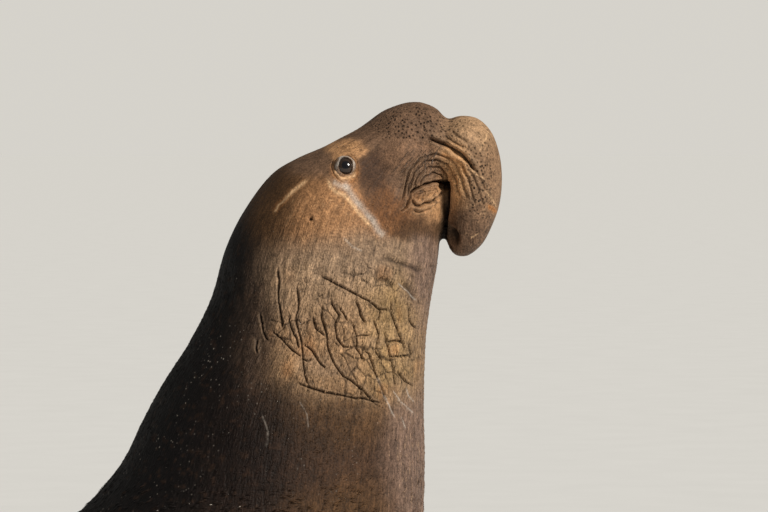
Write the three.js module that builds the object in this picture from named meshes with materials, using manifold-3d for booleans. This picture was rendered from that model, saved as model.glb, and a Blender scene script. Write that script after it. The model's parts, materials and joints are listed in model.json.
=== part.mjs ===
// A young adult northern elephant seal bull, rearing up on a beach, life size.
//
// Millimetres, +Z up, the head facing +X, the animal's left side at +Y. The origin is on the
// floor, under the middle of the whole animal. The hind part lies on its belly, the chest and
// neck stand upright, and the long nose hangs in front of the closed mouth.
//
// The trunk, from the tail root over the belly, chest and neck to the crown, is one swept body.
// Each of its sections is a plane through a point of the back line and a point of the front
// line (belly, chest or throat), and has a half width. The muzzle with the hanging nose is a
// second swept body of the same kind, joined to the head. Limbs are swept along curves in space.
// The joined animal is then parted into its named pieces with thin cuts.

import * as THREE from "three";
import { mergeVertices } from "three/addons/utils/BufferGeometryUtils.js";
import Module from "manifold-3d";

const wasm = await Module();
wasm.setup();

// Driving dimensions

const GAP = 0.3; // between pieces that touch
const SIDES = { right: -1, left: 1 };

// Sections of the trunk from tail to crown: [x, z] on the back line, [x, z] on the front line,
// the half width, and how much narrower (negative) the front edge of the section is.
const TRUNK = {
  tail_end: { back: [-2650, 215], front: [-2650, 214], half: 1, egg: 0 },
  rump: { back: [-2610, 270], front: [-2600, 150], half: 80, egg: 0 },
  hip: { back: [-2450, 352], front: [-2430, 55], half: 165, egg: 0.05 },
  haunch: { back: [-2180, 440], front: [-2160, -4], half: 255, egg: 0.1 },
  loin: { back: [-1820, 525], front: [-1790, -26], half: 350, egg: 0.12 },
  flank: { back: [-1440, 590], front: [-1380, -30], half: 425, egg: 0.12 },
  belly: { back: [-1100, 628], front: [-960, -30], half: 470, egg: 0.12 },
  ribs: { back: [-850, 650], front: [-590, -30], half: 490, egg: 0.1 },
  armpit: { back: [-690, 678], front: [-230, -24], half: 498, egg: 0.06 },
  breast: { back: [-590, 714], front: [85, 18], half: 496, egg: 0 },
  shoulder: { back: [-510, 757], front: [305, 170], half: 482, egg: -0.04 },
  chest: { back: [-442, 808], front: [415, 410], half: 456, egg: -0.06 },
  chest_top: { back: [-385, 868], front: [447, 645], half: 428, egg: -0.06 },
  neck_base: { back: [-333, 938], front: [455, 862], half: 400, egg: -0.05 },
  neck_low: { back: [-283, 1040], front: [455, 1040], half: 368, egg: -0.04 },
  neck_mid: { back: [-226, 1146], front: [456, 1172], half: 340, egg: -0.03 },
  neck_fold: { back: [-160, 1248], front: [461, 1274], half: 317, egg: -0.02 },
  neck_top: { back: [-103, 1362], front: [472, 1356], half: 292, egg: -0.02 },
  nape: { back: [-65, 1492], front: [490, 1462], half: 264, egg: -0.05 },
  throat: { back: [-17, 1590], front: [499, 1560], half: 236, egg: -0.1 },
  cheek: { back: [58, 1688], front: [503, 1622], half: 208, egg: -0.16 },
  temple: { back: [121, 1727], front: [504, 1660], half: 180, egg: -0.14 },
  brow: { back: [197, 1760], front: [503, 1703], half: 155, egg: -0.06 },
  forehead: { back: [275, 1801], front: [500, 1752], half: 131, egg: 0 },
  crown: { back: [352, 1854], front: [490, 1806], half: 100, egg: 0 },
  crown_top: { back: [392, 1866], front: [466, 1846], half: 56, egg: 0 },
  crown_end: { back: [433, 1868], front: [434, 1868], half: 1, egg: 0 },
};

// The same for the muzzle and the hanging nose, from inside the head to the tip. The outer
// line dips at the furrow that parts the two lobes of a bull's nose.
const NOSE = {
  inside: { back: [291, 1742], front: [291, 1741], half: 1, egg: 0 },
  bridge: { back: [322, 1828], front: [317, 1664], half: 74, egg: 0 },
  rise: { back: [377, 1864], front: [368, 1660], half: 108, egg: 0 },
  first_lobe: { back: [437, 1874], front: [416, 1660], half: 120, egg: 0 },
  slope: { back: [485, 1857], front: [458, 1664], half: 115, egg: 0 },
  furrow: { back: [513, 1831], front: [487, 1669], half: 107, egg: 0 },
  second_rise: { back: [545, 1838], front: [503, 1674], half: 110, egg: 0 },
  second_lobe: { back: [590, 1832], front: [511, 1679], half: 113, egg: 0 },
  bend: { back: [627, 1798], front: [513, 1674], half: 112, egg: 0 },
  outer: { back: [650, 1738], front: [514, 1660], half: 110, egg: 0 },
  hang: { back: [657, 1670], front: [514, 1634], half: 106, egg: 0 },
  lower: { back: [650, 1604], front: [513, 1597], half: 99, egg: 0 },
  tip_top: { back: [632, 1552], front: [512, 1560], half: 90, egg: 0 },
  tip: { back: [603, 1506], front: [513, 1525], half: 74, egg: 0 },
  tip_low: { back: [575, 1480], front: [524, 1496], half: 48, egg: 0 },
  tip_under: { back: [564, 1473], front: [536, 1479], half: 27, egg: 0 },
  tip_end: { back: [550, 1471], front: [549, 1471], half: 1, egg: 0 },
};

// Places on the side of the head, [x, z].
const EYE = [250, 1708];
const EAR = [161, 1573];
const MOUTH_CORNER = [424, 1654];
const NOSTRIL = [524, 1508];

const LIP_LINE = [507, 1659]; // the front end of the mouth line

const EYE_RADIUS = 31;
const EYE_SINK = 17; // from the skin to the middle of the eyeball
const LID_RADIUS = 28;
const LID_THICK = 7;
const LID_SINK = 2.5;
const EAR_RADIUS = 10;
const EAR_THICK = 5;
const LIP_THICK = 7;
const NOSTRIL_SIZE = [17, 10, 19]; // half its length, width and height
const NOSTRIL_APART = 29; // from the middle of the nose

// The nose is parted from the head along an upright plane behind its hanging part, the trunk
// along the planes of these sections, and the lower jaw along this outline in the side view.
const NOSE_ROOT_X = 507.5;
const TRUNK_PARTS = { head: "nape", neck: "neck_base", chest: "armpit", belly: "loin" };
const LAST_PART = "rump";
const JAW_OUTLINE = [LIP_LINE, MOUTH_CORNER, [390, 1624], [366, 1566], [507, 1556]];

const JAW_ACROSS = 800; // wider than the head

// A foreflipper, as the right one: its arm goes down and out from the shoulder to the palm,
// which lies on the floor, and its five digits spread from the wrist. The first is the longest.
const ARM = {
  shoulder: { at: [105, -385, 340], wide: 112, thick: 66 },
  elbow: { at: [85, -466, 238], wide: 106, thick: 58 },
  wrist: { at: [42, -535, 132], wide: 94, thick: 46 },
  palm: { at: [-28, -602, 56], wide: 96, thick: 34 },
  knuckles: { at: [-112, -668, 24], wide: 104, thick: 23 },
  web: { at: [-182, -716, 13], wide: 104, thick: 12 },
};
const ARM_FLAT = [-0.25, -0.35, 1]; // the way the back of the flipper faces
const DIGIT_ROOT = [-10, -590];
const DIGIT_HEIGHTS = [66, 24, 15];
const FORE_DIGITS = [
  { length: 330, turn: -26, half: 27 },
  { length: 312, turn: -13, half: 24 },
  { length: 286, turn: 0, half: 22 },
  { length: 258, turn: 13, half: 21 },
  { length: 226, turn: 28, half: 22 },
];
const DIGIT_AIM = 218; // degrees from ahead, seen from above
const DIGIT_SPREAD = 19; // how far apart the digits are at the wrist

const CLAW_LENGTH = 52;
const CLAW_HALF = 7;

// A hind flipper, as the right one: a fan of five digits that stands on its edge, the soles of
// both towards each other. The outer digits are the longest, so that the fan has two lobes.
const ANKLE = [-2500, -78, 142];
const FAN_ROOT = [-2625, -86, 140];
const FAN = {
  ankle: { at: ANKLE, wide: 88, thick: 46 },
  heel: { at: [-2600, -84, 141], wide: 84, thick: 38 },
  sole: { at: [-2730, -94, 140], wide: 98, thick: 27 },
  web: { at: [-2880, -105, 144], wide: 130, thick: 16 },
  edge: { at: [-3020, -115, 148], wide: 150, thick: 8 },
};
const FAN_FLAT = [0, 1, 0];
const HIND_DIGITS = [
  { length: 510, turn: 17, half: 38 },
  { length: 455, turn: 9, half: 28 },
  { length: 412, turn: 0.5, half: 27 },
  { length: 455, turn: -7, half: 28 },
  { length: 510, turn: -12.4, half: 38 },
];

const TAIL = {
  root: { at: [-2570, 0, 222], wide: 46, thick: 30 },
  middle: { at: [-2660, 0, 218], wide: 38, thick: 24 },
  end: { at: [-2745, 0, 208], wide: 22, thick: 15 },
};

// How finely the pieces are divided: round them, and along them.
const FINENESS = {
  trunk: [36, 80],
  nose: [26, 30],
  limb: [12, 12],
  digit: [7, 7],
  claw: [6, 5],
  lip: [6, 16],
  lid: [7, 18],
  ear: [6, 12],
  ball: [16, 11],
};

const COLOURS = {
  fur_back: { color: 0x3a2c22, roughness: 0.75, metalness: 0 },
  fur_chest: { color: 0x5c4737, roughness: 0.75, metalness: 0 },
  hide_neck: { color: 0x8b6f54, roughness: 0.8, metalness: 0 },
  hide_head: { color: 0x7d5f46, roughness: 0.7, metalness: 0 },
  hide_nose: { color: 0x7a5f48, roughness: 0.65, metalness: 0 },
  eyeball: { color: 0x120e12, roughness: 0.08, metalness: 0 },
  nail: { color: 0x1f1a17, roughness: 0.45, metalness: 0 },
};

// Swells and hollows of the head: where on its side, how far they reach, and how far they
// rise from the skin (or sink, where negative).
const SWELLS = {
  brow: { at: [262, 1750], reach: 62, rise: 14 },
  cheekbone: { at: [238, 1662], reach: 60, rise: 10 },
  before_eye: { at: [335, 1690], reach: 62, rise: -18 },
  whisker_pad: { at: [430, 1712], reach: 70, rise: 14 },
  jaw_corner: { at: [395, 1610], reach: 70, rise: 10 },
  jaw_muscle: { at: [190, 1610], reach: 95, rise: 10 },
};
const SWELL_FADE = 60; // swells fade out this close to the middle of the animal

// Swept bodies

const smooth = (t) => t * t * (3 - 2 * t);
const radians = (degrees) => (degrees * Math.PI) / 180;
const sideOf = ([x, y, z], side) => [x, -side * y, z];

function sectionCurves(sections) {
  const list = Object.values(sections);
  const line = (key) =>
    new THREE.CatmullRomCurve3(list.map((s) => new THREE.Vector3(s[key][0], 0, s[key][1])));
  const widths = list.map((s) => new THREE.Vector3(s.half, s.egg, 0));
  const shape = new THREE.CatmullRomCurve3(widths, false, "catmullrom");
  return { back: line("back"), front: line("front"), shape };
}

// A point on a swept body. along runs from 0 to 1 over the sections, angle is 0 on the front
// line and half a turn on the back line.
function sweptPoint(curves, along, angle) {
  const back = curves.back.getPoint(along);
  const front = curves.front.getPoint(along);
  const { x: half, y: egg } = curves.shape.getPoint(along);
  const middle = back.add(front).multiplyScalar(0.5);
  const point = middle.clone().addScaledVector(front.sub(middle), Math.cos(angle));
  point.y += Math.max(half, 0) * (1 + egg * Math.cos(angle)) * Math.sin(angle);
  return { point, middle };
}

// The skin of the head rises and sinks away from the middle of its section.
function swollen({ point, middle }) {
  const outward = point.clone().sub(middle).normalize();
  const sideways = smooth(Math.min(1, Math.abs(point.y) / SWELL_FADE));
  let lift = 0;
  for (const { at, reach, rise } of Object.values(SWELLS)) {
    const away = Math.hypot(point.x - at[0], point.z - at[1]) / reach;
    lift += rise * sideways * Math.exp(-away * away);
  }
  return point.addScaledVector(outward, lift);
}

// A closed body laid over a sphere's grid: pointAt takes how far along and the angle round.
function closedSweep([around, rows], pointAt) {
  const grid = new THREE.SphereGeometry(1, around, rows);
  const place = grid.getAttribute("position");
  const uv = grid.getAttribute("uv");
  for (let i = 0; i < place.count; i++) {
    const along = 1 - uv.getY(i);
    const turn = along === 0 || along === 1 ? 0 : uv.getX(i) % 1;
    place.setXYZ(i, ...pointAt(along, turn * 2 * Math.PI).toArray());
  }
  return grid;
}

function trunkGeometry() {
  const curves = sectionCurves(TRUNK);
  return closedSweep(FINENESS.trunk, (along, angle) => swollen(sweptPoint(curves, along, angle)));
}

function noseGeometry() {
  const curves = sectionCurves(NOSE);
  return closedSweep(FINENESS.nose, (along, angle) => sweptPoint(curves, along, angle).point);
}

// A limb, digit, lip or claw: swept along a curve through its stations, each with a place, a
// half width and a half thickness. flat is the direction that the thickness is measured in,
// and the ends are rounded over the share cap of the length.
function limbGeometry(stations, flat, fineness, cap = 0.12) {
  const path = new THREE.CatmullRomCurve3(stations.map((s) => new THREE.Vector3(...s.at)));
  const girths = stations.map((s) => new THREE.Vector3(s.wide, s.thick, 0));
  const girth = new THREE.CatmullRomCurve3(girths, false, "catmullrom");
  const flatWay = new THREE.Vector3(...flat).normalize();
  return closedSweep(fineness, (along, angle) => {
    const eased = (1 - Math.cos(along * Math.PI)) / 2;
    const fromEnd = Math.min(1, Math.min(eased, 1 - eased) / cap);
    const rounding = Math.sqrt(1 - (1 - fromEnd) ** 2);
    const tangent = path.getTangent(eased);
    const thickWay = flatWay.clone().addScaledVector(tangent, -flatWay.dot(tangent)).normalize();
    const wideWay = tangent.clone().cross(thickWay);
    const size = girth.getPoint(eased);
    return path
      .getPoint(eased)
      .addScaledVector(wideWay, size.x * rounding * Math.cos(angle))
      .addScaledVector(thickWay, size.y * rounding * Math.sin(angle));
  });
}

// Solids

function solidOf(geometry) {
  const bare = geometry.clone();
  bare.deleteAttribute("normal");
  bare.deleteAttribute("uv");
  const merged = mergeVertices(bare, 1e-3);
  const triVerts = new Uint32Array(merged.index.array);
  const vertProperties = merged.getAttribute("position").array;
  const made = new wasm.Manifold(new wasm.Mesh({ numProp: 3, vertProperties, triVerts }));
  if (made.volume() > 0) return made;
  for (let i = 0; i < triVerts.length; i += 3) {
    [triVerts[i + 1], triVerts[i + 2]] = [triVerts[i + 2], triVerts[i + 1]];
  }
  return new wasm.Manifold(new wasm.Mesh({ numProp: 3, vertProperties, triVerts }));
}

function geometryOf(solid) {
  const mesh = solid.getMesh();
  const step = mesh.numProp;
  const places = new Float32Array((mesh.vertProperties.length / step) * 3);
  for (let i = 0; i * 3 < places.length; i++) {
    places.set(mesh.vertProperties.subarray(i * step, i * step + 3), i * 3);
  }
  const geometry = new THREE.BufferGeometry();
  geometry.setAttribute("position", new THREE.BufferAttribute(places, 3));
  geometry.setIndex(new THREE.BufferAttribute(new Uint32Array(mesh.triVerts), 1));
  geometry.computeVertexNormals();
  return geometry;
}

// The room that a solid takes with the gap round it.
function roomFor(solid) {
  const geometry = geometryOf(solid);
  const places = geometry.getAttribute("position");
  const normals = geometry.getAttribute("normal");
  for (let i = 0; i < places.count; i++) {
    const out = new THREE.Vector3().fromBufferAttribute(normals, i);
    const moved = new THREE.Vector3().fromBufferAttribute(places, i).addScaledVector(out, GAP);
    places.setXYZ(i, ...moved.toArray());
  }
  return solidOf(geometry);
}

const joined = (solids) => solids.reduce((all, next) => all.add(next));
const cutBy = (solid, tools) => tools.reduce((left, tool) => left.subtract(tool), solid);
const onFloor = (solid) => solid.trimByPlane([0, 0, 1], 0);

function largest(solid) {
  return solid.decompose().reduce((best, next) => (next.volume() > best.volume() ? next : best));
}

function ball(place, radii) {
  const sphere = new THREE.SphereGeometry(1, ...FINENESS.ball);
  sphere.scale(...radii);
  sphere.translate(...place);
  return solidOf(sphere);
}

// A ring that lies on the skin round a place.
function skinRing({ place, out }, radius, thick, fineness) {
  const ring = new THREE.TorusGeometry(radius, thick, ...fineness);
  ring.applyQuaternion(new THREE.Quaternion().setFromUnitVectors(new THREE.Vector3(0, 0, 1), out));
  ring.translate(...place.toArray());
  return solidOf(ring);
}

// A prism across the whole animal, from an outline in the side view.
function sidePrism(outline, depth) {
  const shape = new THREE.Shape(outline.map(([x, z]) => new THREE.Vector2(x, z)));
  const prism = new THREE.ExtrudeGeometry(shape, { depth, bevelEnabled: false });
  prism.translate(0, 0, -depth / 2);
  prism.rotateX(Math.PI / 2);
  return solidOf(prism);
}

// An outline drawn in towards its middle, so that a piece fits its place with the gap round it.
function drawnIn(outline) {
  const middle = [0, 1].map((k) => outline.reduce((sum, p) => sum + p[k], 0) / outline.length);
  const nearest = Math.min(...outline.map((p) => Math.hypot(p[0] - middle[0], p[1] - middle[1])));
  const share = 1 - (2 * GAP) / nearest;
  return outline.map((p) => p.map((value, k) => middle[k] + (value - middle[k]) * share));
}

// The head's side of the plane of a trunk section, and the tail's side.
function partedAt(solid, name) {
  const { back, front } = TRUNK[name];
  const normal = new THREE.Vector3(front[1] - back[1], 0, back[0] - front[0]).normalize();
  const crown = new THREE.Vector3(TRUNK.crown.back[0], 0, TRUNK.crown.back[1]);
  const onPlane = new THREE.Vector3(back[0], 0, back[1]);
  if (crown.sub(onPlane).dot(normal) < 0) normal.negate();
  const offset = onPlane.dot(normal);
  const ahead = solid.trimByPlane(normal.toArray(), offset + GAP / 2);
  const behind = solid.trimByPlane(normal.negate().toArray(), GAP / 2 - offset);
  return [ahead, behind];
}

// The bare skin, and where a line across the animal at [x, z] meets it on one side.

const trunk = solidOf(trunkGeometry());
const bareSkin = joined([trunk, solidOf(noseGeometry())]);
const trunkRoom = roomFor(trunk);
const lookedAt = new THREE.Mesh(geometryOf(bareSkin));

function onSkin([x, z], side) {
  const from = new THREE.Vector3(x, side * 2000, z);
  const caster = new THREE.Raycaster(from, new THREE.Vector3(0, -side, 0));
  const [hit] = caster.intersectObject(lookedAt);
  return { place: hit.point, out: hit.face.normal.clone() };
}

// The head's openings and rims

function eyeball(side) {
  const { place, out } = onSkin(EYE, side);
  const middle = place.addScaledVector(out, -EYE_SINK);
  return ball(middle.toArray(), [EYE_RADIUS, EYE_RADIUS, EYE_RADIUS]);
}

function lidRing(side) {
  const { place, out } = onSkin(EYE, side);
  const sunk = { place: place.addScaledVector(out, -LID_SINK), out };
  return skinRing(sunk, LID_RADIUS, LID_THICK, FINENESS.lid);
}

function earRim(side) {
  return skinRing(onSkin(EAR, side), EAR_RADIUS, EAR_THICK, FINENESS.ear);
}

function earHole(side) {
  const radius = EAR_RADIUS - EAR_THICK - GAP;
  return ball(onSkin(EAR, side).place.toArray(), [radius, EAR_RADIUS * 2, radius]);
}

function nostril(side) {
  return ball([NOSTRIL[0], side * NOSTRIL_APART, NOSTRIL[1]], NOSTRIL_SIZE);
}

// A lip runs from one corner of the mouth round the front to the other, just over or under
// the mouth line.
function lip(rise) {
  const station = (x, z, side) => {
    const { place } = onSkin([x, z + rise], side);
    return { at: place.toArray(), wide: LIP_THICK, thick: LIP_THICK };
  };
  const sideStations = (side) => {
    return [0, 0.3, 0.6, 0.85].map((share) => {
      const x = THREE.MathUtils.lerp(MOUTH_CORNER[0], LIP_LINE[0] - 6, share);
      const z = THREE.MathUtils.lerp(MOUTH_CORNER[1], LIP_LINE[1], share);
      return station(x, z, side);
    });
  };
  const stations = [...sideStations(SIDES.right), ...sideStations(SIDES.left).reverse()];
  return solidOf(limbGeometry(stations, [0, 0, 1], FINENESS.lip, 0.08));
}

// Flippers

// The line of a foreflipper's digit: where it is at a share of its length.
function foreDigitAt(digit, index, side, share) {
  const aim = radians(DIGIT_AIM + digit.turn);
  const across = radians(DIGIT_AIM + 90);
  const offset = (index - 2) * DIGIT_SPREAD;
  const reach = digit.length * share;
  const x = DIGIT_ROOT[0] + offset * Math.cos(across) + reach * Math.cos(aim);
  const y = DIGIT_ROOT[1] + offset * Math.sin(across) + reach * Math.sin(aim);
  const [root, knuckle, tip] = DIGIT_HEIGHTS;
  const z = share < 0.5 ? root + (knuckle - root) * 2 * share : knuckle + (tip - knuckle) * (2 * share - 1);
  return sideOf([x, y, z], side);
}

function foreClaw(digit, index, side) {
  const station = (share, rise, half) => {
    const [x, y, z] = foreDigitAt(digit, index, side, share);
    return { at: [x, y, z + rise], wide: half, thick: half };
  };
  const share = CLAW_LENGTH / digit.length;
  const stations = [
    station(1 - share * 0.62, 3, CLAW_HALF * 0.8),
    station(1 - share * 0.2, 5, CLAW_HALF),
    station(1 + share * 0.38, -4, CLAW_HALF * 0.35),
  ];
  return solidOf(limbGeometry(stations, [0, 0, 1], FINENESS.claw, 0.2));
}

function foreflipper(side) {
  const arm = Object.values(ARM).map((s) => ({ ...s, at: sideOf(s.at, side) }));
  const pieces = [solidOf(limbGeometry(arm, sideOf(ARM_FLAT, side), FINENESS.limb))];
  FORE_DIGITS.forEach((digit, index) => {
    const stations = [0, 0.35, 0.7, 1].map((share) => {
      const half = digit.half * (1 - 0.35 * share);
      return { at: foreDigitAt(digit, index, side, share), wide: half, thick: half * 0.8 };
    });
    pieces.push(solidOf(limbGeometry(stations, [0, 0, 1], FINENESS.digit)));
  });
  const sockets = FORE_DIGITS.map((digit, index) => roomFor(foreClaw(digit, index, side)));
  return largest(onFloor(cutBy(joined(pieces), [trunkRoom, ...sockets])));
}

function hindFlipper(side) {
  const fan = Object.values(FAN).map((s) => ({ ...s, at: sideOf(s.at, side) }));
  const pieces = [solidOf(limbGeometry(fan, FAN_FLAT, FINENESS.limb))];
  for (const digit of HIND_DIGITS) {
    const stations = [0, 0.35, 0.7, 1].map((share) => {
      const reach = digit.length * share;
      const bend = radians(digit.turn) * (1.25 - 0.25 * share);
      const x = FAN_ROOT[0] - reach * Math.cos(bend);
      const y = FAN_ROOT[1] - 0.07 * reach;
      const z = FAN_ROOT[2] + reach * Math.sin(bend);
      const half = digit.half * (0.8 + 0.3 * share);
      return { at: sideOf([x, y, z], side), wide: half, thick: 22 - 11 * share };
    });
    pieces.push(solidOf(limbGeometry(stations, FAN_FLAT, FINENESS.digit)));
  }
  return largest(onFloor(joined(pieces).subtract(trunkRoom)));
}

// The animal, whole and then parted

const group = new THREE.Group();

function place(name, solid, look) {
  const mesh = new THREE.Mesh(geometryOf(solid), new THREE.MeshStandardMaterial(COLOURS[look]));
  mesh.name = name;
  group.add(mesh);
}

const bothSides = (make) => Object.values(SIDES).map(make);

const rims = bothSides(lidRing);
const lips = [lip(LIP_THICK), lip(-LIP_THICK)];
const hollows = [
  ...bothSides((side) => roomFor(eyeball(side))),
  ...bothSides((side) => roomFor(earRim(side))),
  ...bothSides(earHole),
  ...bothSides(nostril),
];
const whole = onFloor(cutBy(joined([bareSkin, ...rims, ...lips]), hollows));

place("nose", largest(whole.trimByPlane([1, 0, 0], NOSE_ROOT_X + GAP / 2)), "hide_nose");

const looks = { head: "hide_head", neck: "hide_neck", chest: "fur_chest", belly: "fur_back" };
let rest = whole.trimByPlane([-1, 0, 0], GAP / 2 - NOSE_ROOT_X);
for (const [name, section] of Object.entries(TRUNK_PARTS)) {
  const [ahead, behind] = partedAt(rest, section);
  rest = behind;
  if (name === "head") {
    const jaw = ahead.intersect(sidePrism(drawnIn(JAW_OUTLINE), JAW_ACROSS));
    place("lower_jaw", largest(jaw), looks.head);
    place("head", largest(ahead.subtract(sidePrism(JAW_OUTLINE, JAW_ACROSS))), looks.head);
  } else {
    place(name, largest(ahead), looks[name]);
  }
}
place(LAST_PART, largest(rest), "fur_back");

const tail = solidOf(limbGeometry(Object.values(TAIL), [0, 0, 1], FINENESS.digit));
place("tail", largest(tail.subtract(trunkRoom)), "fur_back");

for (const [name, side] of Object.entries(SIDES)) {
  place(`eye_${name}`, eyeball(side), "eyeball");
  place(`ear_${name}`, earRim(side), "hide_head");
  place(`foreflipper_${name}`, foreflipper(side), "fur_back");
  FORE_DIGITS.forEach((digit, index) => {
    place(`claw_${name}_${index + 1}`, largest(onFloor(foreClaw(digit, index, side))), "nail");
  });
  place(`hind_flipper_${name}`, hindFlipper(side), "fur_back");
}

// The origin moves to the floor under the middle of the animal.
const reach = new THREE.Box3().setFromObject(group);
group.position.x = -(reach.min.x + reach.max.x) / 2;

export default group;
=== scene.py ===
# %% [markdown]
# The object is a young adult northern elephant seal bull, rearing up with its head raised. This
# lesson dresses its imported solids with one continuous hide, wet eyes, claws, whiskers and a short
# coat. Everything is measured in metres and stands in the same frame as the solids, so the first
# step is to load them and to note how large the whole animal is before anything is added.

# %% The frame
import json
import math

import bmesh
import bpy
import numpy as np
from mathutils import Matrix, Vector

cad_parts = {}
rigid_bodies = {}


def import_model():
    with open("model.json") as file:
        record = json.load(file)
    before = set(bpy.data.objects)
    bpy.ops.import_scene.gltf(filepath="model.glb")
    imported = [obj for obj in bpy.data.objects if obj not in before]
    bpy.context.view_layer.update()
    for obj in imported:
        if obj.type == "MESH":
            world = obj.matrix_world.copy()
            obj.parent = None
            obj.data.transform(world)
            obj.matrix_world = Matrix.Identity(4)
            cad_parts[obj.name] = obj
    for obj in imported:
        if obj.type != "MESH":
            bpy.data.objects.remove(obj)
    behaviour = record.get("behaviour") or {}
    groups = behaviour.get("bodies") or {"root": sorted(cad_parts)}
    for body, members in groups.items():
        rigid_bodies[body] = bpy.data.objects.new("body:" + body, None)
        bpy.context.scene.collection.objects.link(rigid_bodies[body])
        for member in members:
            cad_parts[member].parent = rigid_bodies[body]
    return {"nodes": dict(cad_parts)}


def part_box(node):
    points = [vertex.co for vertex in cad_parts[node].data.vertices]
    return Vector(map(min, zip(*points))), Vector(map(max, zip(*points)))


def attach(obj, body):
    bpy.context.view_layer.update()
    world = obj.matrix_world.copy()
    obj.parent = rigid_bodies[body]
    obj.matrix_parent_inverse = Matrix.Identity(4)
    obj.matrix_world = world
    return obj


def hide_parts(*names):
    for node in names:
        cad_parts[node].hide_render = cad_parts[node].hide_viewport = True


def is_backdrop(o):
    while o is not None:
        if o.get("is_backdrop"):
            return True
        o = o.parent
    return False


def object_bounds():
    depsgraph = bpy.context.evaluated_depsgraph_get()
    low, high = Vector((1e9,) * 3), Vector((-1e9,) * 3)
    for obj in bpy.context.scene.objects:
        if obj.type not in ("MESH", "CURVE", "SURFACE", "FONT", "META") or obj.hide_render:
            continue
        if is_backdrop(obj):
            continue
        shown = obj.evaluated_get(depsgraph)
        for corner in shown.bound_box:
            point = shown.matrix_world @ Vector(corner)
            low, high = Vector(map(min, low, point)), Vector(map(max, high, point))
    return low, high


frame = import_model()
solid_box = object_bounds()
MM = 0.001
SIDES = {"right": -1, "left": 1}
print("solids:", len(frame["nodes"]), "nodes, box", solid_box)

# %% [markdown]
# The animal's main measures were taken in a side view whose zero lies under the eye. The solids
# are centred on the floor instead, so one shift along X joins the two. The nose is parted from
# the head by an upright plane at a known place, so the low side of its box gives that shift.

# %% The shift between the side view and the frame
NOSE_ROOT_X = 507.65
SHIFT_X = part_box("nose")[0].x - NOSE_ROOT_X * MM
print("shift along X:", round(SHIFT_X, 4))

# %% [markdown]
# The camera comes first, because marks on the hide are placed where the picture shows them. The
# picture was taken with a long lens from the animal's right side, almost level, so a long lens
# far away keeps the outline flat, as the picture has it. A picture point turns into a place on
# the animal by the size of a pixel there.

# %% The camera
PICTURE = (768, 512)
PIXEL = 2.6 * MM  # a pixel's size at the middle of the animal
PIXEL_UNDER_EYE = 250  # the pixel column of the side view's zero
PIXEL_FLOOR = 822  # the pixel row of the floor, under the picture's lower edge
CAMERA_AWAY = 12.0
SENSOR_WIDE = 36
CAMERA_RISE = math.radians(1.5)

aim = Vector((
    SHIFT_X + (PICTURE[0] / 2 - PIXEL_UNDER_EYE) * PIXEL,
    0,
    (PIXEL_FLOOR - PICTURE[1] / 2) * PIXEL,
))
to_camera = Vector((0, -math.cos(CAMERA_RISE), math.sin(CAMERA_RISE)))
camera_data = bpy.data.cameras.new("picture_camera")
camera_data.sensor_width = SENSOR_WIDE
camera_data.lens = SENSOR_WIDE * CAMERA_AWAY / (PICTURE[0] * PIXEL)
camera = bpy.data.objects.new("picture_camera", camera_data)
camera.location = aim + to_camera * CAMERA_AWAY
camera.rotation_euler = (-to_camera).to_track_quat("-Z", "Y").to_euler()
bpy.context.scene.collection.objects.link(camera)
bpy.context.scene.camera = camera
print("lens", round(camera_data.lens, 1), "mm, camera", [round(c, 2) for c in camera.location])


def picture_place(points):
    """The picture column and row of points, each taken on the side that the picture shows."""
    near = np.array(points, float)
    near[:, 1] = -np.abs(near[:, 1])
    away = near - np.array(camera.location)
    forward = np.array(-to_camera)
    up = np.array([0, -forward[2], forward[1]])
    depth = away @ forward
    scale = CAMERA_AWAY / depth / PIXEL
    return PICTURE[0] / 2 + away[:, 0] * scale, PICTURE[1] / 2 - (away @ up) * scale


# %% [markdown]
# The trunk, from the tail root over belly, chest and neck to the crown, is a tube of changing
# section. It could be sculpted by hand, or lofted through named sections. Lofting keeps every
# measure readable: each section has a point on the back line, a point on the front line (belly,
# chest or throat) and a half width, all in millimetres, and by what share its front is wider.

# %% The sections of trunk and nose
TRUNK = {
    "tail_end": ((-2650, 215), (-2650, 214), 1, 0),
    "rump": ((-2610, 270), (-2600, 150), 80, 0),
    "hip": ((-2450, 352), (-2430, 55), 165, 0.05),
    "haunch": ((-2180, 440), (-2160, -4), 255, 0.1),
    "loin": ((-1820, 525), (-1790, -26), 350, 0.12),
    "flank": ((-1440, 590), (-1380, -30), 425, 0.12),
    "belly": ((-1100, 628), (-960, -30), 470, 0.12),
    "ribs": ((-850, 650), (-590, -30), 490, 0.1),
    "armpit": ((-690, 678), (-230, -24), 498, 0.06),
    "breast": ((-590, 714), (85, 18), 496, 0),
    "shoulder": ((-510, 757), (305, 170), 482, -0.04),
    "chest": ((-442, 808), (415, 410), 456, -0.06),
    "chest_top": ((-385, 868), (447, 645), 428, -0.06),
    "neck_base": ((-333, 938), (455, 862), 400, -0.05),
    "neck_low": ((-283, 1040), (455, 1040), 368, -0.04),
    "neck_mid": ((-226, 1146), (456, 1172), 340, -0.03),
    "neck_fold": ((-160, 1248), (461, 1274), 317, -0.02),
    "neck_top": ((-103, 1362), (472, 1356), 292, -0.02),
    "nape": ((-65, 1492), (490, 1462), 264, -0.05),
    "throat": ((-17, 1590), (499, 1560), 236, -0.1),
    "cheek": ((58, 1688), (503, 1622), 208, -0.16),
    "temple": ((121, 1727), (504, 1660), 180, -0.14),
    "brow": ((197, 1760), (503, 1703), 155, -0.06),
    "forehead": ((275, 1801), (500, 1752), 131, 0),
    "crown": ((352, 1854), (490, 1806), 100, 0),
    "crown_top": ((392, 1866), (466, 1846), 56, 0),
    "crown_end": ((433, 1868), (434, 1868), 1, 0),
}
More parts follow.
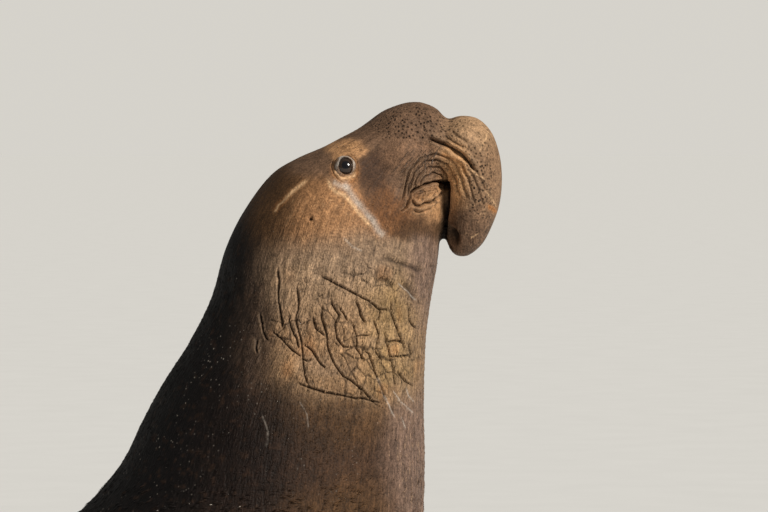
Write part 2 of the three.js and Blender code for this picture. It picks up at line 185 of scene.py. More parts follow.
NOSE = {
    "inside": ((291, 1742), (291, 1741), 1, 0),
    "bridge": ((322, 1828), (317, 1664), 74, 0),
    "rise": ((377, 1864), (368, 1660), 108, 0),
    "first_lobe": ((437, 1874), (416, 1660), 120, 0),
    "slope": ((485, 1857), (458, 1664), 115, 0),
    "furrow": ((513, 1831), (487, 1669), 107, 0),
    "second_rise": ((545, 1838), (503, 1674), 110, 0),
    "second_lobe": ((590, 1832), (508, 1679), 113, 0),
    "bend": ((627, 1798), (502, 1674), 112, 0),
    "outer": ((650, 1738), (499, 1652), 110, 0),
    "hang": ((657, 1670), (497, 1624), 106, 0),
    "lower": ((650, 1604), (496, 1590), 99, 0),
    "tip_top": ((632, 1552), (496, 1558), 90, 0),
    "tip": ((607, 1504), (504, 1526), 76, 0),
    "tip_low": ((581, 1479), (516, 1495), 54, 0),
    "tip_under": ((564, 1470), (527, 1477), 32, 0),
    "tip_end": ((547, 1468), (546, 1468), 1, 0),
}
print(len(TRUNK), "trunk sections,", len(NOSE), "nose sections")

# %% [markdown]
# A smooth line through the sections is a Catmull-Rom curve, which passes through each point with
# no overshoot when its speed follows the distance between points. Three such curves drive a
# sweep: the back line, the front line and the widths. A ring of points is laid between the two
# lines at each step.

# %% Curves and sweeps


def through(points, shares, even=False):
    """Points on a smooth curve at shares from 0 to 1 of its list of points."""
    points = np.array(points, float)
    before = 2 * points[0] - points[1]
    after = 2 * points[-1] - points[-2]
    padded = np.vstack([before, points, after])
    reach = np.clip(np.asarray(shares, float), 0, 1) * (len(points) - 1)
    first = np.minimum(reach.astype(int), len(points) - 2)
    part = (reach - first)[..., None]
    p0, p1, p2, p3 = (padded[first + k] for k in range(4))
    if even:
        start, stop = (p2 - p0) / 2, (p3 - p1) / 2
    else:
        pairs = ((p0, p1), (p1, p2), (p2, p3))
        gaps = [np.sqrt(np.linalg.norm(b - a, axis=-1, keepdims=True)) for a, b in pairs]
        middle = np.where(gaps[1] < 1e-6, 1, gaps[1])
        early = np.where(gaps[0] < 1e-6, middle, gaps[0])
        late = np.where(gaps[2] < 1e-6, middle, gaps[2])
        start = ((p1 - p0) / early - (p2 - p0) / (early + middle) + (p2 - p1) / middle) * middle
        stop = ((p2 - p1) / middle - (p3 - p1) / (middle + late) + (p3 - p2) / late) * middle
    cubic = 2 * p1 - 2 * p2 + start + stop
    square = -3 * p1 + 3 * p2 - 2 * start - stop
    return p1 + start * part + square * part**2 + cubic * part**3


def section_lines(sections, shares):
    """Back points, front points and half widths of a sweep, in metres, and its share in front."""
    values = list(sections.values())
    back = through([v[0] for v in values], shares) * MM
    front = through([v[1] for v in values], shares) * MM
    shape = through([(v[2], v[3]) for v in values], shares, even=True)
    for line in (back, front):
        line[:, 0] += SHIFT_X
    return back, front, np.maximum(shape[:, 0], 0) * MM, shape[:, 1]


def swept_rings(sections, rings, around):
    """Rings of points round a sweep, and the middle of each ring."""
    back, front, half, egg = section_lines(sections, np.linspace(0, 1, rings))
    angle = np.linspace(0, 2 * np.pi, around, endpoint=False)
    middle = (back + front) / 2
    deep = (front - back) / 2
    points = np.zeros((rings, around, 3))
    points[:, :, 0] = middle[:, None, 0] + deep[:, None, 0] * np.cos(angle)
    points[:, :, 2] = middle[:, None, 1] + deep[:, None, 1] * np.cos(angle)
    points[:, :, 1] = half[:, None] * (1 + egg[:, None] * np.cos(angle)) * np.sin(angle)
    centre = np.stack([middle[:, 0], np.zeros(rings), middle[:, 1]], axis=1)
    return points, centre


def tube_mesh(name, points):
    """A closed mesh through rings of points, with a fan over each end."""
    rings, around = points.shape[:2]
    ends = np.stack([points[0].mean(0), points[-1].mean(0)])
    vertices = np.vstack([points.reshape(-1, 3), ends])
    here = np.arange(around)
    after = (here + 1) % around
    rows = np.arange(rings - 1)[:, None] * around
    quads = np.stack([rows + here, rows + after, rows + around + after, rows + around + here], axis=-1)
    last = (rings - 1) * around
    fans = [(rings * around, b, a) for a, b in zip(here, after)]
    fans += [(rings * around + 1, last + a, last + b) for a, b in zip(here, after)]
    mesh = bpy.data.meshes.new(name)
    mesh.from_pydata(vertices.tolist(), [], quads.reshape(-1, 4).tolist() + fans)
    mesh.update()
    return mesh


# %% [markdown]
# A few rounded swells and hollows give the head its bones and muscles: brow, cheekbone, whisker
# pad and jaw. Each is a smooth bump at a place on the side of the head that lifts or sinks the
# skin away from the middle of its ring.

# %% The swells of the head
SWELLS = {
    "brow": ((262, 1750), 62, 14),
    "cheekbone": ((238, 1662), 60, 10),
    "before_eye": ((335, 1690), 62, -18),
    "whisker_pad": ((430, 1712), 70, 14),
    "jaw_corner": ((395, 1610), 70, 10),
    "jaw_muscle": ((190, 1610), 95, 10),
}
SWELL_FADE = 60 * MM
TRUNK_RINGS = (420, 144)  # rings, and points round each
NOSE_RINGS = (160, 96)


def ease(share):
    """From 0 to 1 with a soft start and a soft stop."""
    share = np.clip(share, 0, 1)
    return share * share * (3 - 2 * share)


def bell(away, wide=1):
    """A smooth hump, 1 in its middle and nearly 0 from twice its width."""
    return np.exp(-(away / wide) ** 2)


def swollen(points, centre):
    outward = points - centre[:, None, :]
    outward /= np.maximum(np.linalg.norm(outward, axis=2, keepdims=True), 1e-9)
    lift = np.zeros(points.shape[:2])
    for (x, z), reach, rise in SWELLS.values():
        away = np.hypot(points[:, :, 0] - SHIFT_X - x * MM, points[:, :, 2] - z * MM) / (reach * MM)
        lift += rise * MM * bell(away)
    lift *= ease(np.abs(points[:, :, 1]) / SWELL_FADE)
    return points + outward * lift[:, :, None]


trunk_mesh = tube_mesh("trunk", swollen(*swept_rings(TRUNK, *TRUNK_RINGS)))
nose_mesh = tube_mesh("nose_form", swept_rings(NOSE, *NOSE_RINGS)[0])
print("trunk", len(trunk_mesh.vertices), "points, nose", len(nose_mesh.vertices), "points")

# %% [markdown]
# A seal's foreflipper is an arm in a mitten: the bones of five fingers show as ridges, and skin
# joins them nearly to the claws. The hind flippers are fans that are held sole to sole. Each arm,
# finger and fan is swept along its own curve, with a half width and a half thickness at each
# station, and they will melt into one skin with the trunk.

# %% Limbs
ARM = {
    "shoulder": ((105, -385, 340), 112, 66),
    "elbow": ((85, -466, 238), 106, 58),
    "wrist": ((42, -535, 132), 94, 46),
    "palm": ((-28, -602, 56), 96, 34),
    "knuckles": ((-112, -668, 24), 104, 23),
    "web": ((-182, -716, 13), 104, 12),
}
ARM_FLAT = (-0.25, -0.35, 1)
DIGIT_ROOT = (-10, -590)
DIGIT_HEIGHTS = (66, 24, 15)
DIGIT_AIM = 218
DIGIT_SPREAD = 19
FORE_DIGITS = ((330, -26, 27), (312, -13, 24), (286, 0, 22), (258, 13, 21), (226, 28, 22))
FAN = {
    "ankle": ((-2500, -78, 142), 88, 46),
    "heel": ((-2600, -84, 141), 84, 38),
    "sole": ((-2730, -94, 140), 98, 27),
    "web": ((-2880, -105, 144), 130, 16),
    "edge": ((-3020, -115, 148), 150, 8),
}
FAN_FLAT = (0, 1, 0)
UPRIGHT = (0, 0, 1)
TAIL_RINGS = (40, 40)
ARM_RINGS = (60, 64)
DIGIT_RINGS = (40, 24)
DIGIT_STATIONS = (0, 0.35, 0.7, 1)
FAN_ROOT = (-2625, -86, 140)
HIND_DIGITS = ((510, 17, 38), (455, 9, 28), (412, 0.5, 27), (455, -7, 28), (510, -12.4, 38))
TAIL = {
    "root": ((-2570, 0, 222), 46, 30),
    "middle": ((-2660, 0, 218), 38, 24),
    "end": ((-2745, 0, 208), 22, 15),
}


def on_side(place, side):
    return (place[0], -side * place[1], place[2])


def limb_rings(stations, flat, rings, around, cap=0.12):
    """Rings round a limb's curve: stations hold a place, a half width and a half thickness."""
    eased = (1 - np.cos(np.linspace(0, np.pi, rings))) / 2
    path = through([s[0] for s in stations], eased)
    ahead = through([s[0] for s in stations], np.minimum(eased + 0.01, 1))
    behind = through([s[0] for s in stations], np.maximum(eased - 0.01, 0))
    tangent = ahead - behind
    tangent /= np.linalg.norm(tangent, axis=1, keepdims=True)
    flat_way = np.array(flat, float) / np.linalg.norm(flat)
    thick_way = flat_way - tangent * (tangent @ flat_way)[:, None]
    thick_way /= np.linalg.norm(thick_way, axis=1, keepdims=True)
    wide_way = np.cross(tangent, thick_way)
    girth = through([(s[1], s[2]) for s in stations], eased, even=True)
    from_end = np.minimum(1, np.minimum(eased, 1 - eased) / cap)
    rounding = np.sqrt(np.maximum(1 - (1 - from_end) ** 2, 0))
    angle = np.linspace(0, 2 * np.pi, around, endpoint=False)
    wide = (girth[:, 0] * rounding)[:, None, None] * np.cos(angle)[None, :, None]
    thick = (girth[:, 1] * rounding)[:, None, None] * np.sin(angle)[None, :, None]
    points = path[:, None, :] + wide_way[:, None, :] * wide + thick_way[:, None, :] * thick
    points *= MM
    points[:, :, 0] += SHIFT_X
    return points


def fore_digit_at(index, side, share):
    """The middle of a finger at a share of its length."""
    length, turn = FORE_DIGITS[index][:2]
    aim_angle = math.radians(DIGIT_AIM + turn)
    across = math.radians(DIGIT_AIM + 90)
    offset = (index - 2) * DIGIT_SPREAD
    x = DIGIT_ROOT[0] + offset * math.cos(across) + length * share * math.cos(aim_angle)
    y = DIGIT_ROOT[1] + offset * math.sin(across) + length * share * math.sin(aim_angle)
    z = np.interp(share, (0, 0.5, 1, 1.4), DIGIT_HEIGHTS + (9,))
    return on_side((x, y, z), side)


def hind_digit_at(index, side, share):
    """The middle of a toe at a share of its length."""
    length, turn = HIND_DIGITS[index][:2]
    bend = math.radians(turn) * (1.25 - 0.25 * share)
    x = FAN_ROOT[0] - length * share * math.cos(bend)
    y = FAN_ROOT[1] - 0.07 * length * share
    z = FAN_ROOT[2] + length * share * math.sin(bend)
    return on_side((x, y, z), side)


limb_meshes = [tube_mesh("tail_form", limb_rings(list(TAIL.values()), UPRIGHT, *TAIL_RINGS))]
for side_name, side in SIDES.items():
    arm = [(on_side(at, side), wide, thick) for at, wide, thick in ARM.values()]
    rings = limb_rings(arm, on_side(ARM_FLAT, side), *ARM_RINGS)
    limb_meshes.append(tube_mesh(f"arm_{side_name}", rings))
    fan = [(on_side(at, side), wide, thick) for at, wide, thick in FAN.values()]
    limb_meshes.append(tube_mesh(f"fan_{side_name}", limb_rings(fan, FAN_FLAT, *ARM_RINGS)))
    for index in range(len(FORE_DIGITS)):
        half = FORE_DIGITS[index][2]
        stations = [
            (fore_digit_at(index, side, s), half * (1 - 0.35 * s), half * (1 - 0.35 * s) * 0.8)
            for s in DIGIT_STATIONS
        ]
        limb_meshes.append(tube_mesh("finger", limb_rings(stations, UPRIGHT, *DIGIT_RINGS)))
        half = HIND_DIGITS[index][2]
        stations = [
            (hind_digit_at(index, side, s), half * (0.8 + 0.3 * s), 22 - 11 * s)
            for s in DIGIT_STATIONS
        ]
        limb_meshes.append(tube_mesh("toe", limb_rings(stations, FAN_FLAT, *DIGIT_RINGS)))
print(len(limb_meshes), "limb forms")

# %% [markdown]
# Overlapping forms become one skin by a voxel remesh: Blender fills space with small cubes,
# keeps what is inside any form, and wraps a new even mesh of squares round it. Joints between
# nose and head, or arm and chest, then have no seam. Smoothing afterwards rounds the creases
# where two forms met, as fat and skin do.

# %% One skin from all forms
VOXEL = 8 * MM
SMOOTH_BY = 0.5
SMOOTH_ROUNDS = 8
PUSH_BACK = 1.04  # smoothing shrinks a form, and pushing back a little more than that keeps its size

forms = bmesh.new()
for mesh in [trunk_mesh, nose_mesh] + limb_meshes:
    forms.from_mesh(mesh)
bmesh.ops.recalc_face_normals(forms, faces=forms.faces)
form_mesh = bpy.data.meshes.new("forms")
forms.to_mesh(form_mesh)
forms.free()
form_object = bpy.data.objects.new("forms", form_mesh)
bpy.context.scene.collection.objects.link(form_object)
remesh = form_object.modifiers.new("one_skin", "REMESH")
remesh.mode = "VOXEL"
remesh.voxel_size = VOXEL
depsgraph = bpy.context.evaluated_depsgraph_get()
skin_mesh = bpy.data.meshes.new_from_object(form_object.evaluated_get(depsgraph))
bpy.data.objects.remove(form_object)
print("skin after the remesh:", len(skin_mesh.polygons), "faces")


def numbers(items, name, wide=1, kind=float):
    """One property of all points, edges or faces of a mesh, as an array with wide columns."""
    flat = np.empty(len(items) * wide, kind)
    items.foreach_get(name, flat)
    return flat.reshape(-1, wide) if wide > 1 else flat


def coordinates(mesh):
    return numbers(mesh.vertices, "co", 3)


def edge_pairs(mesh):
    return numbers(mesh.edges, "vertices", 2, np.int32)


def relaxed(values, pairs, rounds):
    """Points averaged with their neighbours along the mesh's edges, then pushed back out."""
    count = np.bincount(pairs.ravel(), minlength=len(values)).astype(float)
    count = np.maximum(count, 1)[:, None]
    for step in range(rounds * 2):
        total = np.zeros_like(values)
        for k in range(values.shape[1]):
            total[:, k] = np.bincount(pairs[:, 0], values[pairs[:, 1], k], len(values))
            total[:, k] += np.bincount(pairs[:, 1], values[pairs[:, 0], k], len(values))
        share = SMOOTH_BY if step % 2 == 0 else -SMOOTH_BY * PUSH_BACK
        values = values + share * (total / count - values)
    return values


def put_back(mesh, points):
    mesh.vertices.foreach_set("co", np.ascontiguousarray(points, float).ravel())
    mesh.update()


put_back(skin_mesh, relaxed(coordinates(skin_mesh), edge_pairs(skin_mesh), SMOOTH_ROUNDS))
print("skin smoothed:", len(skin_mesh.vertices), "points")

# %% [markdown]
# Wrinkles need small faces, but the long back doesn't. So the part that has them, from the upper
# chest to the nose, is divided once. The cracked neck, the nose, the eye and the mouth are divided
# a second time, and the eye and the mouth a third time.

# %% Finer faces where wrinkles are
FINE_FROM = 780 * MM  # above this height every face is divided
FINE_ROUNDS = 4
CLOSEST_BOXES = {
    "eye": ((205, 300), (1660, 1758)),
    "mouth": ((395, 515), (1600, 1690)),
}
FINEST_BOXES = {
    "eye": ((195, 310), (1640, 1775)),
    "mouth_and_nose": ((340, 610), (1540, 1800)),
    "neck_cracks": ((20, 470), (1040, 1470)),
}


def divided(mesh, wanted):
    """Divides the faces for which wanted(centres) is true into four."""
    work = bmesh.new()
    work.from_mesh(mesh)
    centres = np.array([face.calc_center_median() for face in work.faces])
    chosen = set()
    for face, yes in zip(work.faces, wanted(centres)):
        if yes:
            chosen.update(face.edges)
    bmesh.ops.subdivide_edges(work, edges=list(chosen), cuts=1, use_grid_fill=True, smooth=0)
    work.to_mesh(mesh)
    work.free()
    mesh.update()


def in_boxes(centres, boxes):
    yes = np.zeros(len(centres), bool)
    for (x0, x1), (z0, z1) in boxes.values():
        x = (centres[:, 0] - SHIFT_X) / MM
        z = centres[:, 2] / MM
        yes |= (x > x0) & (x < x1) & (z > z0) & (z < z1)
    return yes


divided(skin_mesh, lambda centres: centres[:, 2] > FINE_FROM)
divided(skin_mesh, lambda centres: in_boxes(centres, FINEST_BOXES))
divided(skin_mesh, lambda centres: in_boxes(centres, CLOSEST_BOXES))
put_back(skin_mesh, relaxed(coordinates(skin_mesh), edge_pairs(skin_mesh), FINE_ROUNDS))
print("skin divided:", len(skin_mesh.polygons), "faces,", len(skin_mesh.vertices), "points")

# %% [markdown]
# Marks and wrinkles need to know where they are on the animal. Two kinds of coordinates are
# worked out for every point: its place in the picture, for the marks that the picture shows, and
# its place along and round the body, which tells back from belly and which way the fur lies.

# %% Where each point is
SECTION_STEPS = 260
POINTS_AT_ONCE = 40000  # so that the work fits in memory


def body_place(points):
    """Metres along the body's middle line, and the angle round it, half a turn on the back."""
    back, front, half = section_lines(TRUNK, np.linspace(0, 1, SECTION_STEPS))[:3]
    middle = (back + front) / 2
    steps = np.linalg.norm(np.diff(middle, axis=0), axis=1)
    travelled = np.concatenate([[0], np.cumsum(steps)])
    across = front - back
    length = np.maximum(np.linalg.norm(across, axis=1), 1e-6)
    normal = np.stack([-across[:, 1], across[:, 0]], axis=1) / length[:, None]
    along = np.zeros(len(points))
    angle = np.zeros(len(points))
    for start in range(0, len(points), POINTS_AT_ONCE):
        now = slice(start, start + POINTS_AT_ONCE)
        part = points[now]
        side_view = part[:, [0, 2]].astype(np.float32)
        ahead = side_view @ normal.T.astype(np.float32) - (back * normal).sum(1).astype(np.float32)
        first = np.clip(np.argmax(ahead <= 0, axis=1), 1, SECTION_STEPS - 1)
        first = np.where((ahead > 0).all(axis=1), SECTION_STEPS - 1, first)
        row = np.arange(len(part))
        over, under = ahead[row, first - 1], ahead[row, first]
        share = np.clip(over / np.maximum(over - under, 1e-6), 0, 1)
        along[now] = travelled[first - 1] + share * (travelled[first] - travelled[first - 1])
        centre = middle[first - 1] + share[:, None] * (middle[first] - middle[first - 1])
        forward = across[first] / length[first][:, None]
        reach = ((side_view - centre) * forward).sum(1) / (length[first] / 2)
        wide = part[:, 1] / np.maximum(half[first], 0.01)
        angle[now] = np.arctan2(wide, reach)
    return along, angle


rest_points = coordinates(skin_mesh)
along, angle = body_place(rest_points)
print("along the body:", round(along.min(), 2), "to", round(along.max(), 2), "m")

# %% [markdown]
# An unwrap lays the skin flat, so that colours can be stored in a picture when the model leaves
# Blender. The body is taken apart into regions, and each region into six flat views, one for each
# way its faces look. A small packing loop lays these views side by side. The nose and head get
# more room than the long back, because their marks are finer.

# %% The unwrap
REGION_SCALES = {"body": 0.42, "head": 1.0, "nose": 1.3, "limbs": 0.7, "hind": 0.7}
CHART_GAP = 0.012
HEAD_FROM = 900 * MM
NOSE_FROM = 509  # places along X in the side view, in millimetres
ARM_PART = (-320, 260)
HIND_FROM = -2640
LOW_HIND_FROM = -2560
ARM_OUT = 505 * MM
ARM_TOP = 450 * MM
LOW_HIND_TOP = 160 * MM


def by_the_arm(x, z):
    return (z < ARM_TOP) & (x > ARM_PART[0]) & (x < ARM_PART[1])


def region_of(centres):
    """0 for the body, 1 head, 2 nose, 3 and 4 the arms, 5 and 6 the hind flippers."""
    x = (centres[:, 0] - SHIFT_X) / MM
    z = centres[:, 2]
    region = np.zeros(len(centres), int)
    region[z > HEAD_FROM] = 1
    region[x > NOSE_FROM] = 2
    on_arm = (np.abs(centres[:, 1]) > ARM_OUT) & by_the_arm(x, z)
    region[on_arm] = np.where(centres[on_arm, 1] > 0, 3, 4)
    on_hind = (x < HIND_FROM) | ((x < LOW_HIND_FROM) & (z < LOW_HIND_TOP))
    region[on_hind] = np.where(centres[on_hind, 1] > 0, 5, 6)
    return region


SCALE_OF_REGION = [REGION_SCALES[n] for n in ("body", "head", "nose", "limbs", "limbs", "hind", "hind")]


def chart_of(centres, normals):
    """A chart number for each face: its region and the way it looks."""
    way = np.argmax(np.abs(normals), axis=1)
    looks_back = normals[np.arange(len(normals)), way] < 0
    return region_of(centres) * 6 + way * 2 + looks_back


def flat_view(points, chart):
    """The points seen along the axis of their chart, scaled for their region."""
    way = chart % 6 // 2
    u = np.where(way == 0, points[:, 1], points[:, 0])
    v = np.where(way == 2, points[:, 1], points[:, 2])
    scale = np.array(SCALE_OF_REGION)[chart // 6]
    return u * scale, v * scale


def packed_charts(chart, u, v):
    """The low corner of each chart's rectangle on the sheet, and the sheet's width."""
    boxes = {}
    for number in np.unique(chart):
        inside = chart == number
        boxes[number] = (u[inside].min(), v[inside].min(), np.ptp(u[inside]), np.ptp(v[inside]))
    order = sorted(boxes, key=lambda number: -boxes[number][3])
    width = math.sqrt(sum((b[2] + CHART_GAP) * (b[3] + CHART_GAP) for b in boxes.values()))
    while True:
        corner, shelf, left, top = {}, 0, 0, 0
        for number in order:
            low_u, low_v, wide, high = boxes[number]
            if left + wide + CHART_GAP > width:
                left, top, shelf = 0, top + shelf, 0
            corner[number] = (left - low_u + CHART_GAP / 2, top - low_v + CHART_GAP / 2)
            left += wide + CHART_GAP
            shelf = max(shelf, high + CHART_GAP)
        if top + shelf <= width:
            return corner, width
        width *= 1.02


loop_vertex = numbers(skin_mesh.loops, "vertex_index", 1, np.int32)
loop_count = numbers(skin_mesh.polygons, "loop_total", 1, np.int32)
face_centres = numbers(skin_mesh.polygons, "center", 3)
face_chart = chart_of(face_centres, numbers(skin_mesh.polygons, "normal", 3))
loop_chart = np.repeat(face_chart, loop_count)
loop_u, loop_v = flat_view(rest_points[loop_vertex], loop_chart)
chart_corner, sheet_width = packed_charts(loop_chart, loop_u, loop_v)


def on_sheet(points, chart):
    u, v = flat_view(points, chart)
    corner = np.zeros((max(chart_corner) + 1, 2))
    for number, place in chart_corner.items():
        corner[number] = place
    return np.stack([u + corner[chart, 0], v + corner[chart, 1]], axis=1) / sheet_width


unwrap = skin_mesh.uv_layers.new(name="OFBake")
unwrap.data.foreach_set("uv", on_sheet(rest_points[loop_vertex], loop_chart).ravel())
print("unwrap:", len(chart_corner), "charts on a sheet", round(sheet_width, 2), "m wide")

# %% [markdown]
# Natural surfaces are uneven at every scale. A soft noise is made from a small block of seeded
# random numbers, blended smoothly between its cells, so the same animal comes out on each run.
# A cell noise gives the cracked pattern of thick hide: each point looks for the two nearest
# random seeds, and a crack runs where both are equally near.

# %% Soft noise and cell noise
NOISE_BLOCK = 24
noise_block = np.random.default_rng(11).random((NOISE_BLOCK,) * 3)


def soft_noise(points, size, seed=0):
    """Smooth noise from -1 to 1, with blobs about size across."""
    scaled = points / size + seed * 7.31
    cell = np.floor(scaled).astype(int)
    part = ease(scaled - cell)
    total = np.zeros(len(points))
    for corner in range(8):
        step = np.array([corner & 1, corner >> 1 & 1, corner >> 2])
        weight = np.prod(np.where(step, part, 1 - part), axis=1)
        i, j, k = ((cell + step) % NOISE_BLOCK).T
        total += weight * noise_block[i, j, k]
    return total * 2 - 1


def skin_noise(size, seed):
    return soft_noise(rest_points, size, seed)


def cell_edges(u, v, seed=0):
    """How near the edge of its cell each point is: 0 on the edge, in cells of unit size."""
    column, row = np.floor(u).astype(int), np.floor(v).astype(int)
    nearest = np.full(len(u), 9.0)
    second = np.full(len(u), 9.0)
    for a in (-1, 0, 1):
        for b in (-1, 0, 1):
            i, j = (column + a) % NOISE_BLOCK, (row + b) % NOISE_BLOCK
            seed_u = column + a + 0.15 + 0.7 * noise_block[i, j, seed % NOISE_BLOCK]
            seed_v = row + b + 0.15 + 0.7 * noise_block[j, i, (seed + 5) % NOISE_BLOCK]
            away = np.hypot(u - seed_u, v - seed_v)
            second = np.where(away < nearest, nearest, np.minimum(second, away))
            nearest = np.minimum(nearest, away)
    return second - nearest


# %% [markdown]
# The wrinkles come next. Each crack of the neck shield is a short line in the picture. A point's
# distance to that line makes a groove with raised lips, and the same distance later paints shade in
# the groove and a highlight on its lips. On the side away from the picture the lines are bent a
# little, so that the two sides aren't exact mirrors.

# %% Places on the hide, as picture columns and rows
CRACKS = {
    "rear": [(278, 267), (278, 288), (279, 306), (280.5, 316), (282, 328)],
    "main": [(296.5, 285), (298, 303), (295.5, 320.5), (298, 332), (302, 344), (302.5, 358.5), (305.5, 376),
             (308.5, 387)],
    "middle": [(321.5, 303), (322, 320), (327.5, 336.5), (329, 350), (335, 364.5), (343.5, 376), (352, 381),
               (363, 389.5), (376, 404), (382, 408)],
    "middle_end": [(361, 388), (362.5, 393), (361, 398)],
    "left_fork": [(312.5, 316), (315.5, 328), (326, 336.5)],
    "low_fork": [(304, 344), (313, 351), (318, 360), (322, 365), (327.5, 369)],
    "low_cross": [(302.5, 358.5), (307, 361), (312, 360)],
    "beside_middle": [(331, 298), (332.5, 304), (338.5, 314.5), (335.5, 326), (337, 338), (344, 347),
                      (355, 347)],
    "beside_short": [(340, 308), (343, 312), (348, 321)],
    "short_high": [(357, 301), (359, 306), (362, 315), (366, 323)],
    "inner": [(353, 323), (357, 335), (356.5, 348), (361, 354), (363.5, 361)],
    "inner_cross": [(357, 336.5), (363, 336), (370, 335)],
    "inner_low": [(364, 350.5), (369, 353.5), (374.5, 367.5), (377, 376), (384, 391), (386, 402.5)],
    "front": [(375, 320.5), (379.5, 335), (377, 353), (380, 357), (383, 361)],
    "front_top": [(381, 309), (381, 315), (379, 320)],
    "front_low": [(385.5, 332), (388, 345), (392, 361.5), (395, 376), (396, 386)],
    "front_long": [(391, 299), (392, 313), (399, 329), (405, 344), (406, 352)],
    "front_cross": [(391, 356.5), (401, 357), (411, 355.5)],
    "front_tie": [(388, 342), (398, 341), (405, 343)],
    "slant": [(320, 276), (328, 279), (336, 283.5), (354, 292.5), (370, 301.5), (380, 309), (390, 310)],
    "high_crease": [(384, 257), (391, 260), (399, 263.5), (415.5, 268.5), (421, 274)],
    "high_short": [(380, 278.5), (387, 281), (393.5, 285.5)],
    "shield_edge": [(297, 383), (308.5, 387), (321.5, 391.5), (337.5, 395), (351, 397.5), (366, 399),
                    (384, 404)],
    "rear_short": [(258.5, 311.5), (261, 323), (264, 333.5), (267, 340)],
    "rear_low": [(256, 338), (255, 346), (257, 353)],
    "rear_slant": [(272, 331), (279, 336.5), (292, 350), (301, 356)],
    "rear_double": [(288, 316), (291, 328), (296, 338), (299, 348)],
    "front_edge": [(410, 308), (411, 320.5), (413, 325), (418, 329)],
    "edge_low": [(411, 344), (412, 355), (409, 368)],
    "corner_low": [(399, 372), (406, 381), (414, 386)],
    "chin_crease": [(404, 283), (412, 293), (416, 303)],
}
MOUTH_FOLDS = {
    "inner": [(419, 186), (424, 177), (433, 173), (441, 175), (445, 182)],
    "ring": [(413, 192), (415, 182), (419.5, 174), (428, 167), (440.5, 167.5), (447.5, 176), (446, 186)],
    "wide": [(408, 199), (409, 186), (414, 173), (424, 162), (436, 159.5), (447, 164), (453, 175)],
    "outer": [(402, 202), (405, 186), (410, 169), (421, 158), (435.5, 153.5), (449, 158), (459, 168)],
    "left_end": [(405, 208), (410, 198), (411.5, 190)],
    "left_low": [(401, 211), (406, 206), (408, 199)],
    "knob": [(421, 189), (424, 193), (423, 199)],
    "knob_front": [(433, 186), (435, 191), (432, 197)],
    "knob_line": [(417, 195), (426, 191.5), (436, 188.5)],
}
# The gap between the hanging nose and the throat; its dark is painted shade, the nose's shadow on the throat.
NOSE_GAP = [(446, 181), (447, 190), (446.5, 203), (445.5, 217), (444.5, 231), (443.5, 246)]
NOSE_FOLD = [(429, 138), (441, 143), (450, 147), (461, 155), (469, 163), (474, 171)]
NOSE_WRINKLES = {
    "first": [(450, 168), (455, 180), (460, 196)],
    "second": [(455, 164), (461, 177), (467, 198)],
    "third": [(461, 163), (468, 177), (475, 205)],
    "fourth": [(466, 164), (475, 180), (484, 206)],
    "fifth": [(472, 166), (482, 182), (490, 200)],
    "over_fold": [(447, 137), (455, 143), (464, 148)],
    "over_fold_high": [(452, 131), (460, 138), (468, 142)],
}
MOUTH = [(412, 193), (414, 189.5), (419, 187), (425, 184.5), (432, 182.5), (438, 181.5), (446, 183)]
UNDER_LIP = [(412, 199), (416, 205), (422, 206), (430, 202), (437, 197.5), (443, 191)]
UNDER_LOBE = [(413, 209), (418, 212.5), (425, 212), (430, 208)]
ARCHES_MIDDLE = (431, 188)
SHIELD = ((345, 332), (88, 82))  # middle of the cracked shield and how far it reaches
TEAR = [(344.5, 181), (350, 192), (357, 202), (366, 212.5), (374, 221.5), (379, 231), (384.5, 236)]
WET_PATCH = [(333, 181), (340, 184), (348, 187)]
WET_RIM = [(327.5, 179), (330, 186), (336, 192), (344, 194.5), (349, 200), (355, 208), (363.5, 218),
           (372, 227)]
SCAR = [(307, 179), (300, 185), (291, 192), (284, 200), (278, 205), (274, 212)]
# A hollow low on the nose, darkened later as painted shade.
NOSE_HOLLOW = ((453, 235), (5.5, 8.5), 0.35)  # middle, reach, and how far its top leans back
LIP_KNOBS = ((426, 194), (15, 11))  # middle of the knobbly lip and its reach
# The pit's dark is painted shade.
MOUTH_CORNER = ((444, 185), (4.5, 5.5))  # the dark pit behind the nose
BULGES = {  # place, reach across and up, and rise in millimetres
    "lower_lip": ((430, 191.5), (10, 5.5), 9),
    "lip_knob": ((423, 193), (5, 5), 4),
    "lip_lobe": ((419, 208.5), (6, 3.2), 6),
    "chin": ((437, 206), (9, 12), 6),
    "upper_lip": ((427, 177), (14, 6), 7),
    "nose_side": ((474, 192), (16, 34), 7),
    "behind_fold": ((441, 155), (14, 9), 6),
}


def line_distance(column, row, line):
    """Millimetres to a line of picture places, and the share of the line that is nearest."""
    line = np.array(line, float)
    lengths = np.linalg.norm(np.diff(line, axis=0), axis=1)
    travelled = np.concatenate([[0], np.cumsum(lengths)]) / lengths.sum()
    nearest = np.full(len(column), 1e9)
    share = np.zeros(len(column))
    for k in range(len(line) - 1):
        du, dv = line[k + 1] - line[k]
        part = ((column - line[k, 0]) * du + (row - line[k, 1]) * dv) / (lengths[k] ** 2)
        part = np.clip(part, 0, 1)
        away = np.hypot(column - line[k, 0] - part * du, row - line[k, 1] - part * dv)
        closer = away < nearest
        nearest = np.where(closer, away, nearest)
        share = np.where(closer, travelled[k] + part * (travelled[k + 1] - travelled[k]), share)
    return nearest * PIXEL / MM, share


def oval_away(place, reach, columns, rows):
    """How far out of an oval each point is: 0 in its middle, 1 on its edge."""
    return np.hypot((columns - place[0]) / reach[0], (rows - place[1]) / reach[1])


def off_middle(reach):
    """0 on the animal's middle plane, where marks of both sides meet, and 1 from reach metres out."""
    return ease(np.abs(rest_points[:, 1]) / reach)


def near_line(column, row, line, margin=14):
    """Which points lie near a line, so that the rest need no work."""
    line = np.array(line, float)
    low, high = line.min(0) - margin, line.max(0) + margin
    return np.flatnonzero((column > low[0]) & (column < high[0]) & (row > low[1]) & (row < high[1]))


